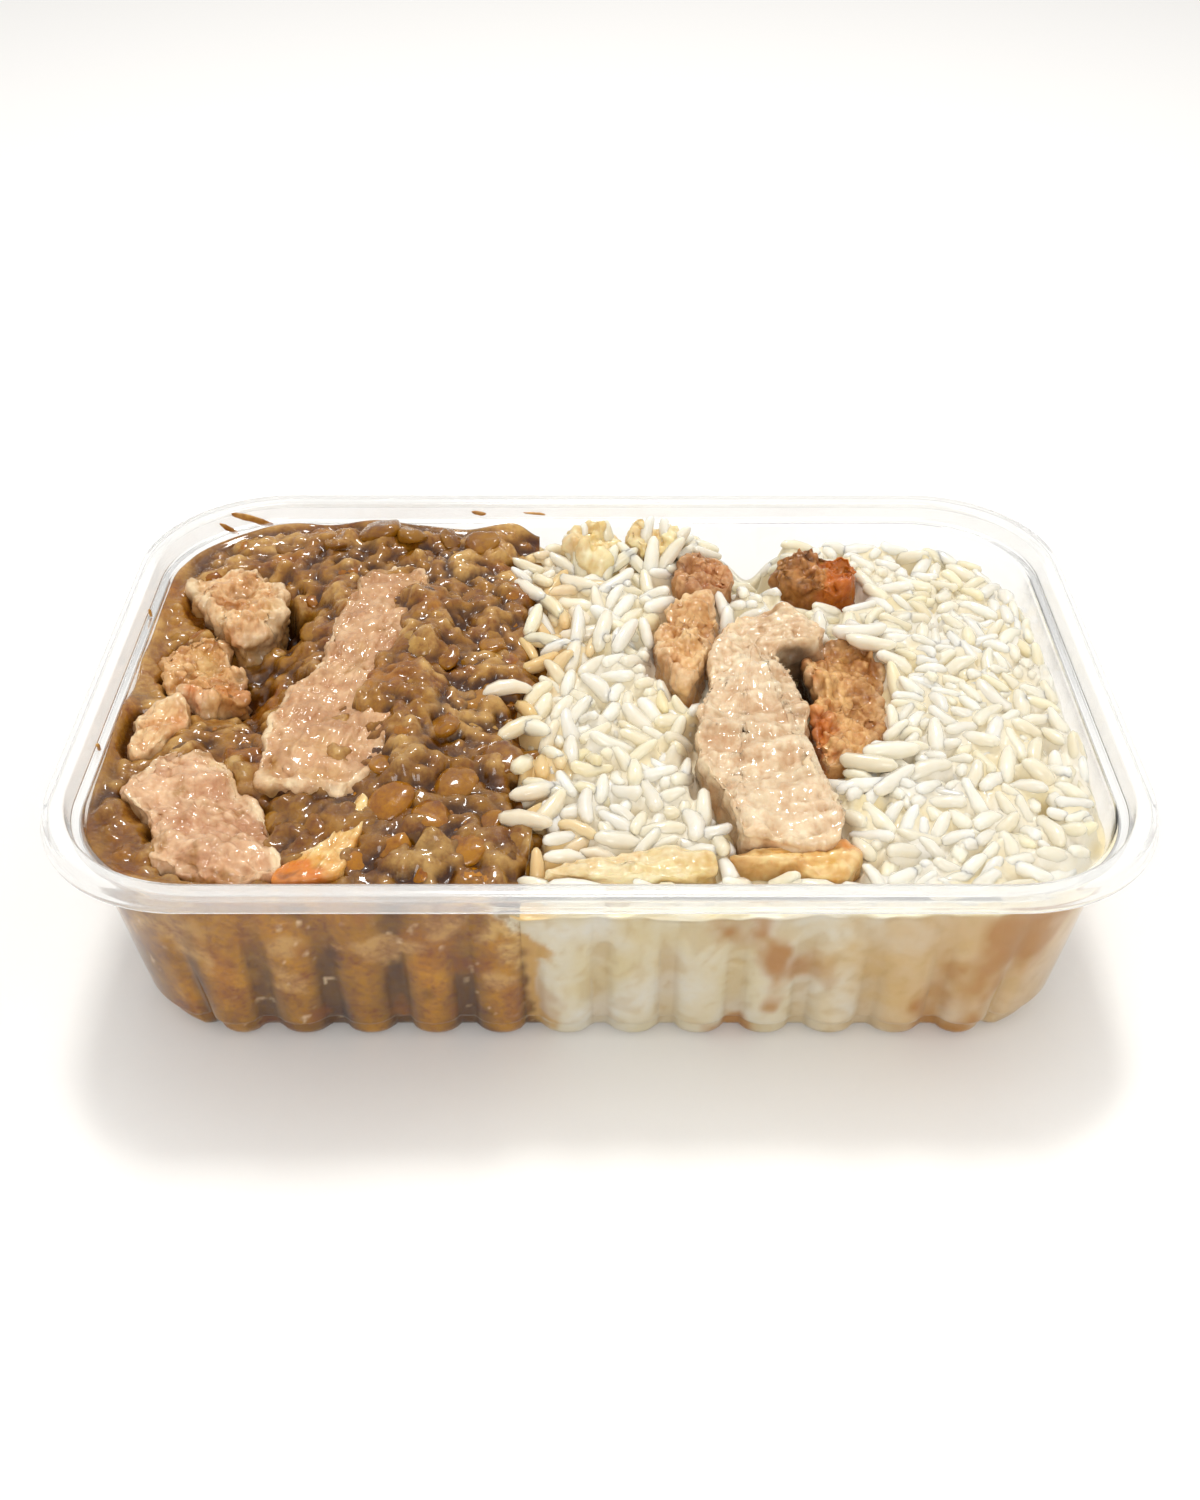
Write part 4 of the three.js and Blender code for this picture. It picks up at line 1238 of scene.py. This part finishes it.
def settled_grains(count, left, right, region, rng, field, spread):
    """Grains dropped one by one on a height map, each in the lowest of several places tried for it.

    A grain is held up by the highest ground under its length and tilts with the ground under its ends.
    Places are tried from left to right where region allows, and spread is the range of half lengths.
    Each row is a grain's middle, its direction in plan, its slope, and its half length and half width.
    """
    low, high = (left, field.low[1]), (right, -field.low[1])
    along = np.array([-0.9, -0.6, -0.3, 0.0, 0.3, 0.6, 0.9])
    across = np.array([-0.6, 0.0, 0.6])
    tries, highest, steepest = 9, 1.1, 0.55
    grains = []
    for _ in range(count * 3):
        if len(grains) >= count:
            break
        half = rng.uniform(*spread)
        wide = 0.5 + half * rng.uniform(0.21, 0.28)
        place = rng.uniform(low, high, (tries, 2))
        yaw = rng.uniform(0, math.pi, tries)
        way = np.stack([np.cos(yaw), np.sin(yaw)], -1)
        ends = place[:, None] + way[:, None] * half * np.array([-1, 0, 1])[None, :, None]
        allowed = region(ends[..., 0], ends[..., 1]).all(1)
        if not allowed.any():
            continue
        place, way, yaw = place[allowed], way[allowed], yaw[allowed]
        u, v = np.meshgrid(along * half, across * wide, indexing="ij")
        u, v = u.ravel(), v.ravel()
        px = place[:, :1] + way[:, :1] * u - way[:, 1:] * v
        py = place[:, 1:] + way[:, 1:] * u + way[:, :1] * v
        ground = field.nearest(px, py)
        thick = wide * np.sqrt(np.clip((1 - np.abs(u / half) ** GRAIN_POWER) * (1 - (v / wide) ** 2), 0, 1))
        first = np.where(u < -0.4 * half, ground, -99).max(1)
        last = np.where(u > 0.4 * half, ground, -99).max(1)
        pitch = np.clip((last - first) / (1.3 * half), -steepest, steepest)
        z = (ground + thick - u * pitch[:, None]).max(1)
        over = z - rice_height(place[:, 0], place[:, 1])
        best = over.argmin()
        if over[best] > highest:
            continue
        z = z[best] - rng.uniform(*SUNK_BY)
        (cx, cy), (wx, wy), slope = place[best], way[best], pitch[best] + rng.normal(0, 0.2)
        cells, dx, dy = field.near(cx, cy, half)
        du, dv = dx * wx + dy * wy, dy * wx - dx * wy
        body = grain_body(du, dv, half, wide)
        field.raise_to(cells, z + du * slope + wide * np.sqrt(body), body)
        grains.append((cx, cy, z, wx, wy, slope, half, wide))
    return np.array(grains)


LAID_GRAINS = [
    # x, y, yaw, half length, pitch and rise, for single grains that stand out
    (-16, -1.5, 0.2, 4.4, 0.0, 0.5), (-13, 31, -0.9, 4.8, 0.1, 0.6), (-9, 26, -1.0, 4.5, 0.0, 0.5),
    (-12, 19, 1.3, 4.1, 0.2, 0.5), (-9.5, 14, -0.4, 4.3, 0.0, 0.5), (-13.5, -12, 0.6, 4.5, 0.1, 0.4),
    (-10, -29, 0.3, 4.6, 0.0, 0.6), (-11.5, -38, -0.3, 4.5, 0.1, 0.5), (-8, -34, 1.0, 4.6, 0.2, 0.6),
    (-4, 17, 1.5, 4.7, 0.3, 1.6), (0.5, 16, 1.35, 4.8, 0.3, 1.6), (4.5, 14.5, 1.1, 4.5, 0.2, 1.4),
    (-3.5, 46, 1.4, 4.6, 1.2, 3.6), (1.5, 47, 1.9, 4.4, 1.3, 3.2), (9, 46, 1.2, 4.4, 1.2, 3.4),
    (13, 47, 2.0, 4.2, 1.1, 2.8), (43.5, -23, -0.3, 4.9, 0.1, 1.4), (47.5, -20, 0.1, 4.8, 0.0, 1.5),
    (42, -28, 0.25, 4.6, 0.0, 1.0), (47, -27, 0.7, 4.6, 0.1, 0.9), (46.5, 14.5, 0.1, 5.0, 0.0, 1.9),
    (48, 10.5, -0.3, 4.6, 0.0, 1.7), (-6.5, 41, 2.6, 4.2, 0.5, 1.6), (-3.5, 39.5, 1.9, 4.8, 0.8, 1.5),
    (1.5, 39.5, 1.1, 4.6, 0.9, 1.7), (3.8, 41, 0.4, 4.3, 0.5, 1.8), (-5, 44, 2.3, 4.8, 0.9, 2.2),
    (6.3, 41.5, 2.5, 4.4, 0.6, 1.6), (9.8, 40.5, 1.4, 4.9, 0.8, 1.6), (13.5, 42, 0.7, 4.5, 0.7, 1.8),
    (15, 46, 0.6, 4.2, 0.9, 2.0), (-4, 34, -0.5, 4.6, 0.1, 0.8), (3, 34, 0.7, 4.6, 0.2, 0.9),
]


def laid_grains(field):
    """Grains set down one by one from a list, each resting on the height map at its middle."""
    x, y, yaw, half, pitch, rise = np.array(LAID_GRAINS, float).T
    z = rice_height(x, y) * (x > border_x(y)) + field.nearest(x, y) * (x <= border_x(y)) + rise
    return np.stack([x, y, z, np.cos(yaw), np.sin(yaw), np.tan(pitch), half, half * 0.33], -1)


def grain_mesh(grains, tints, rng):
    """Points, faces and tints of settled grains, each a little bent and rolled about its length."""
    half, wide = grains[:, 6], grains[:, 7]
    axis = grains[:, 3:6] / np.linalg.norm(grains[:, 3:6], axis=1, keepdims=True)
    first, second, axis = frames(axis, rng.uniform(0, WHOLE_TURN, len(grains)))
    template, faces = grain_template()
    sizes = stack(half, wide, wide * rng.uniform(0.82, 1.0, len(grains)))
    bend = rng.uniform(-0.24, 0.24, len(grains)) * half
    points, faces = repeated(template, faces, (axis, first, second), grains[:, :3], sizes, bend)
    return points, faces, per_copy(tints, template)


def pressed_grains(down, rng, count=1300, depth=0.2):
    """Loops down a wall moved in between grains pressed on it, each half an ellipsoid on a flat map.

    Returns the moved loops and how deep each point lies between grains, from 0 to 1.
    """
    rows, columns = down.shape[:2]
    step = np.linalg.norm(down[0] - np.roll(down[0], 1, 0), axis=1).mean()
    fall = np.abs(down[0, :, 2] - down[-1, :, 2]).mean() / (rows - 1)
    relief = np.zeros((rows, columns))
    k, j = np.meshgrid(np.arange(rows), np.arange(columns), indexing="ij")
    for _ in range(count):
        at_k, at_j = rng.uniform(-2, rows + 2), rng.uniform(0, columns)
        half = rng.uniform(3.4, 4.7)
        wide = half * rng.uniform(0.28, 0.34)
        angle = rng.uniform(0, math.pi)
        reach_k, reach_j = int(half / fall) + 1, int(half / step) + 1
        ks = slice(max(0, int(at_k) - reach_k), min(rows, int(at_k) + reach_k + 1))
        js = slice(max(0, int(at_j) - reach_j), min(columns, int(at_j) + reach_j + 1))
        across, up = (j[ks, js] - at_j) * step, (k[ks, js] - at_k) * fall
        u = across * math.cos(angle) + up * math.sin(angle)
        v = up * math.cos(angle) - across * math.sin(angle)
        body = grain_body(u, v, half, wide) ** 0.5 * rng.uniform(0.7, 1.0)
        relief[ks, js] = np.maximum(relief[ks, js], body)
    gap = 1 - relief
    tangent = np.roll(down, -1, 1) - np.roll(down, 1, 1)
    outward = np.cross(tangent, [0, 0, 1])
    outward /= np.maximum(np.linalg.norm(outward, axis=-1, keepdims=True), 1e-9)
    ease = smooth(np.arange(rows) / 3)[:, None] * smooth((down[..., 2] - 4.5) / 4)
    ease = ease * smooth((down[..., 0] - BORDER_X - 0.5) / 5)
    return down - outward * (depth * gap * ease)[..., None], gap * smooth((down[..., 0] - BORDER_X) / 4)


def rice_colour(points, top_count, gap):
    """White rice, yellower in places, with a stained edge by the curry, and the colour of its wall part."""
    x, y, z = points.T
    tone = fractal(points, 7.0, SEED + 71, 4)
    colour = mixed(RICE, RICE_YELLOW, 0.5 + 0.8 * tone) * 0.9
    colour = mixed(colour, RICE_STAINED, 0.8 * smooth(1.2 - (x - border_x(y)) / (7 + 4 * tone)))
    wall = np.arange(len(points)) >= top_count
    return np.where(wall[:, None], wall_colour(points, gap, RICE_VEIL), colour)


# ---------------------------------------------------------------- settings shown in the panel


def tone_property(name, description, *display):
    """A colour setting from display values out of 255."""
    tone = tuple(linear(*display))
    return bpy.props.FloatVectorProperty(
        name=name, description=description, default=tone, subtype="COLOR", size=3, min=0, max=1
    )


class MealTub(bpy.types.PropertyGroup):
    """The clear tub."""

    wall: bpy.props.FloatProperty(
        name="Wall", description="Thickness of the plastic", default=0.6 * MM, min=0.3 * MM, max=1.2 * MM,
        subtype="DISTANCE", unit="LENGTH",
    )
    spacing: bpy.props.FloatProperty(
        name="Spacing", description="Distance between points round the tub", default=0.8 * MM, min=0.4 * MM,
        subtype="DISTANCE", unit="LENGTH",
    )
    tone: tone_property("Tone", "Colour that the plastic passes", 251, 251, 250)


class MealFood(bpy.types.PropertyGroup):
    """The curry, the rice and the pork."""

    grains: bpy.props.IntProperty(
        name="Grains", description="Most loose grains of rice that are tried on each side of the pork",
        default=1800, min=1, max=2300,
    )
    curry_spacing: bpy.props.FloatProperty(
        name="Curry spacing", description="Distance between points of the curry", default=0.45 * MM,
        min=0.3 * MM, subtype="DISTANCE", unit="LENGTH",
    )
    rice_spacing: bpy.props.FloatProperty(
        name="Rice spacing", description="Distance between points of the rice bed", default=0.5 * MM,
        min=0.3 * MM, subtype="DISTANCE", unit="LENGTH",
    )


class MealStage(bpy.types.PropertyGroup):
    """The floor, the lights and the camera."""

    sky: bpy.props.FloatProperty(
        name="Sky", description="Strength of the light overhead", default=0.72, min=0
    )
    horizon: bpy.props.FloatProperty(
        name="Horizon", description="Strength of the light from the horizon", default=0.58, min=0
    )
    key: bpy.props.FloatProperty(
        name="Key", description="Power of the main light", default=2.8, min=0, subtype="POWER"
    )
    front: bpy.props.FloatProperty(
        name="Front", description="Power of the light from the front", default=2.4, min=0, subtype="POWER"
    )
    floor: tone_property("Floor", "Colour of the floor", 252, 250, 247)


# ---------------------------------------------------------------- operators


class MEAL_OT_tub(bpy.types.Operator):
    """Build the clear tub with its fluted wall, flat rim and skirt"""

    bl_idname = "meal.tub"
    bl_label = "Tub"

    def execute(self, context):
        """One closed skin, of clear plastic below the shoulder and cloudier plastic above it."""
        settings = context.scene.meal_tub
        points, faces = closed_by_poles(tub_rings(settings.wall / MM, settings.spacing / MM))
        wall = plastic_material("plastic", settings.tone, clearness=1.0, haziness=0.14)
        rim = plastic_material("rim", settings.tone, clearness=0.8, haziness=0.2, ior=1.18, coat=0.8)

        def above_shoulder(places):
            """1 for the rim's faces, 0 for the wall's."""
            return places[:, 2] > SHOULDER_Z

        finishes = (wall, rim)
        add_piece("tub", points, faces, finishes, ("container",), choice=above_shoulder)
        return {"FINISHED"}


class MEAL_OT_curry(bpy.types.Operator):
    """Build the bed of lentil curry and the lentils that stand out of it"""

    bl_idname = "meal.curry"
    bl_label = "Curry"

    def execute(self, context):
        """The bed, then the lentils, the soft lumps and the smears on the wall."""
        spacing = context.scene.meal_food.curry_spacing / MM
        curry = curry_surface()
        points, faces, top_count = bed_block(True, spacing, WALL_SKIN, 54, curry.field.between)
        tint = curry_colour(points, top_count, curry)
        add_piece("curry_bed", points, faces, food_material("gravy"), ("curry",), tint)
        skin = food_material("lentil_skin")
        template, faces = lens_template()
        sizes = stack(curry.size, curry.size * 0.93, curry.half)
        axes = frames(curry.normals, curry.twist)
        points, faces = repeated(template, faces, axes, curry.centres, sizes)
        points = rumpled(points, 0.22, 0.3, 2.2, SEED + 33, 2)
        add_piece("lentils", points, faces, skin, (), per_copy(curry.tones, template))
        template, faces = lens_template(24, 11)
        sizes = stack(curry.big_size, curry.big_size * 0.8, curry.big_size * 0.34)
        axes = frames(curry.big_normals, np.arange(len(curry.big_size)) * 1.0)
        points, faces = repeated(template, faces, axes, curry.big_centres, sizes)
        points = rumpled(points, 1.1, 0.5, 3.2, SEED + 35, 3)
        add_piece("soft_lumps", points, faces, skin, (), per_copy(curry.big_tones, template))
        points, faces = wall_smears()
        tint = mixed(SMEAR_DARK, SMEAR_PALE, 0.5 + fractal(points, 2.0, SEED + 53, 3))
        add_piece("wall_smears", points, faces, skin, (), tint)
        return {"FINISHED"}


SMEARS = [
    # side, arc from the side's middle, height, half length, half width, lean
    (3, -51, 38.8, 4.6, 0.75, 0.5), (3, -47, 38.2, 2.6, 0.5, 0.8), (2, 24, 39.1, 1.5, 0.4, 0.1),
    (2, 13, 39.0, 2.2, 0.35, 0.15), (3, -20, 38.2, 1.2, 0.5, 1.2), (3, 20, 38.1, 1.4, 0.4, 1.0),
]


def wall_smears():
    """Thin smears of gravy on the inside of the wall: flat lentil shapes that lie along it."""
    side, arc, z, long, wide, lean = np.array(SMEARS, float).T
    side = side.astype(int)
    inset, thick = 4.25, 0.28
    x, y = outline(side, arc, inset)
    along = stack(*outline(side, arc + 0.5, inset)) - stack(x, y)
    along /= np.linalg.norm(along, axis=1, keepdims=True)
    up = np.array([[0.0, 0.0, 1.0]])
    first = along * np.cos(lean)[:, None] + up * np.sin(lean)[:, None]
    second = up * np.cos(lean)[:, None] - along * np.sin(lean)[:, None]
    normal = np.cross(first, second)
    template, faces = lens_template(28, 9)
    sizes = stack(long, wide, thick)
    points, faces = repeated(template, faces, (first, second, normal), stack(x, y, z), sizes)
    return rumpled(points, 0.35, 0.2, 1.6, SEED + 51, 3), faces


class MEAL_OT_pork(bpy.types.Operator):
    """Build each piece of pork, its fat and its crust"""

    bl_idname = "meal.pork"
    bl_label = "Pork"

    def execute(self, context):
        """One chunk for each node, with the finish of its slot."""
        meat, crust, fat = [food_material(name) for name in ("pork", "crusted_pork", "fat")]
        finishes = {"roast_pork": meat, "browned_pork": crust, "pork_fat": fat, "pale_chunk": fat}
        for node in CHUNKS:
            slot = MEAT_SLOTS.get(node, "roast_pork")
            build_chunk(node, finishes[slot], slot)
        return {"FINISHED"}


class MEAL_OT_rice(bpy.types.Operator):
    """Build the bed of rice, its grains pressed on the wall, and the loose grains heaped on top"""

    bl_idname = "meal.rice"
    bl_label = "Rice"

    def execute(self, context):
        """Loose grains settled on the ground and the pork, then a bed that fills up to their undersides."""
        settings = context.scene.meal_food
        spacing = settings.rice_spacing / MM
        rng = np.random.default_rng(SEED + 5)
        curry = curry_surface()
        field = HeightMap(*RICE_GRID)
        x, y = field.x, field.y
        support = rice_height(x, y) - 4.0 + 0.6 * noise(stack(x, y), 3.0, SEED + 81)
        held = np.zeros(field.shape, bool)
        field.z = support.copy()
        for node in CHUNKS:
            chunk = drawn_chunk(node)
            if chunk.centre[0] < BORDER_X:
                continue
            under = inside(x, y, chunk.loop)
            held |= under
            field.z = np.where(under, np.maximum(field.z, chunk.top(x, y)), field.z)
        curry_side = x < border_x(y)
        field.z = np.where(curry_side, curry.field.between(x, y), field.z)
        grain = food_material("rice_grain")
        for name, (left, right, *halves) in RICE_PARTS.items():

            def region(gx, gy, left=left, right=right):
                """True inside the wall, between left and right, and past the ragged border."""
                free = wall_distance(gx, gy, 6.6) < -0.6
                stray = 6.5 * noise(stack(gx, gy), 7.0, SEED + 83)
                return free & (gx > left) & (gx < right) & (gx > border_x(gy) - 1.5 + stray)

            grains = settled_grains(settings.grains, left, right, region, rng, field, halves)
            if name == "rice_middle":
                grains = np.concatenate([grains, laid_grains(field)])
            shade = rng.uniform(0.86, 0.98, (len(grains), 1))
            yellow = np.clip(rng.normal(0.2, 0.25, len(grains)), 0, 1)
            tints = mixed(RICE, RICE_YELLOW, yellow) * shade
            from_curry = grains[:, 0] - border_x(grains[:, 1])
            stain = smooth(0.9 - from_curry / 9 + 1.1 * noise(grains[:, :3], 7.0, SEED + 85))
            stain = stain * (rng.random(len(grains)) < 0.75)
            if name == "rice_middle":
                stain[-len(LAID_GRAINS) :] *= 0.25
            tints = np.clip(mixed(tints, RICE_STAINED, 0.9 * stain), 0, 1)
            points, faces, tint = grain_mesh(grains, tints, rng)
            points = rumpled(points, 0.3, 1.0, 2.0, SEED + 87, 2)
            add_piece(name, points, faces, grain, (), tint)
        heap = np.where(held | curry_side, support + 1.0, field.z)
        filled = HeightMap(*RICE_GRID)
        filled.z = blurred(heap, 1.1) - 0.6 + 0.25 * smooth((x - RICE_SPLIT_X) / 8)
        filled.z = filled.z + 0.7 * smooth((wall_distance(x, y, FOOD_INSET) + 3.5) / 3)
        gaps = []

        def dent(down):
            """The loops moved in between pressed grains, keeping how deep each point lies."""
            moved, gap = pressed_grains(down, rng)
            gaps.append(gap)
            return moved

        points, faces, top_count = bed_block(False, spacing, WALL_SKIN + 0.05, 58, filled.between, dent)
        gap = np.full(len(points), 0.6)
        gap[top_count : top_count + gaps[0].size] = gaps[0].ravel()
        tint = rice_colour(points, top_count, gap)
        add_piece("rice_bed", points, faces, food_material("rice_bed"), ("rice",), tint)
        return {"FINISHED"}


def area_light(name, place, target, size, power):
    """A square light that faces a target."""
    data = bpy.data.lights.new(name, "AREA")
    data.shape, data.size, data.energy = "SQUARE", size, power
    light = bpy.data.objects.new(name, data)
    bpy.context.scene.collection.objects.link(light)
    light.location = place
    way = Vector(target) - Vector(place)
    light.rotation_euler = way.to_track_quat("-Z", "Y").to_euler()
    return light


class MEAL_OT_stage(bpy.types.Operator):
    """Set up the floor, the sky, the lights and the camera"""

    bl_idname = "meal.stage"
    bl_label = "Stage"

    def execute(self, context):
        """A floor, a sky that changes with height, two square lights and a camera that looks down."""
        scene, settings = context.scene, context.scene.meal_stage
        scene.view_settings.view_transform = "Standard"
        mesh = bpy.data.meshes.new("floor")
        reach = 4
        corners = [(-reach, -reach, 0), (reach, -reach, 0), (reach, reach, 0), (-reach, reach, 0)]
        mesh.from_pydata(corners, [], [(0, 1, 2, 3)])
        floor = bpy.data.objects.new("floor", mesh)
        scene.collection.objects.link(floor)
        paper, graph = new_material("paper")
        place = graph.add("ShaderNodeTexCoord").outputs["Object"]
        inputs = {"Vector": place, "Scale": 400.0, "Detail": 4.0}
        speckle = graph.add("ShaderNodeTexNoise", inputs).outputs[0]
        tone = graph.mix(speckle, (*settings.floor, 1), (*(np.array(settings.floor) * 0.985), 1))
        shader = graph.add("ShaderNodeBsdfPrincipled", {"Base Color": tone, "Roughness": 0.7})
        graph.add("ShaderNodeOutputMaterial", {"Surface": shader.outputs[0]})
        mesh.materials.append(paper)
        world = bpy.data.worlds.new("sky")
        scene.world = world
        world.use_nodes = True
        graph = Graph(world.node_tree)
        way = graph.add("ShaderNodeTexCoord").outputs["Generated"]
        height = graph.add("ShaderNodeSeparateXYZ", {"Vector": way}).outputs["Z"]
        strength = graph.span(height, 0.0, 0.9, settings.horizon, settings.sky)
        inputs = {"Color": (1.0, 0.995, 0.985, 1), "Strength": strength}
        background = graph.add("ShaderNodeBackground", inputs)
        graph.add("ShaderNodeOutputWorld", {"Surface": background.outputs[0]})
        area_light("key", (-0.015, 0.35, 0.75), (0, 0, 0.02), 0.14, settings.key)
        area_light("front", (0.1, -0.8, 0.55), (0, 0, 0.0), 0.35, settings.front)
        data = bpy.data.cameras.new("camera")
        data.sensor_fit, data.sensor_height, data.sensor_width = "VERTICAL", 36, 28.8
        data.lens, data.shift_y = 41.76, -0.0583
        data.clip_start, data.clip_end = 0.01, 20
        camera = bpy.data.objects.new("camera", data)
        scene.collection.objects.link(camera)
        distance, elevation = 0.2983, math.radians(34.62)
        camera.location = (0, -distance * math.cos(elevation), HEIGHT * MM + distance * math.sin(elevation))
        camera.rotation_euler = (math.pi / 2 - elevation, 0, 0)
        scene.camera = camera
        return {"FINISHED"}


class MEAL_PT_panel(bpy.types.Panel):
    """Lists the meal's parts and their settings"""

    bl_label = "Packed Curry Meal"
    bl_idname = "MEAL_PT_panel"
    bl_space_type = "VIEW_3D"
    bl_region_type = "UI"
    bl_category = "Meal"

    def draw(self, context):
        """A button for each operator, and under it the settings of its part."""
        for operator, name in zip(OPERATORS, ("meal_tub", "meal_food", "", "", "meal_stage")):
            self.layout.operator(operator.bl_idname)
            settings = getattr(context.scene, name, None) if name else None
            for key in type(settings).__annotations__ if settings else ():
                self.layout.prop(settings, key)


GROUPS = {"meal_tub": MealTub, "meal_food": MealFood, "meal_stage": MealStage}
OPERATORS = (MEAL_OT_tub, MEAL_OT_curry, MEAL_OT_pork, MEAL_OT_rice, MEAL_OT_stage)


def register():
    """Adds the classes, and the settings to the scene."""
    for kind in (*GROUPS.values(), *OPERATORS, MEAL_PT_panel):
        bpy.utils.register_class(kind)
    for name, kind in GROUPS.items():
        setattr(bpy.types.Scene, name, bpy.props.PointerProperty(type=kind))


def unregister():
    """Takes off what register added."""
    for name in GROUPS:
        delattr(bpy.types.Scene, name)
    for kind in reversed((*GROUPS.values(), *OPERATORS, MEAL_PT_panel)):
        bpy.utils.unregister_class(kind)


def main():
    """Registers the classes, and builds every part."""
    register()
    for operator in OPERATORS:
        space, name = operator.bl_idname.split(".")
        getattr(getattr(bpy.ops, space), name)()


if __name__ == "__main__":
    main()
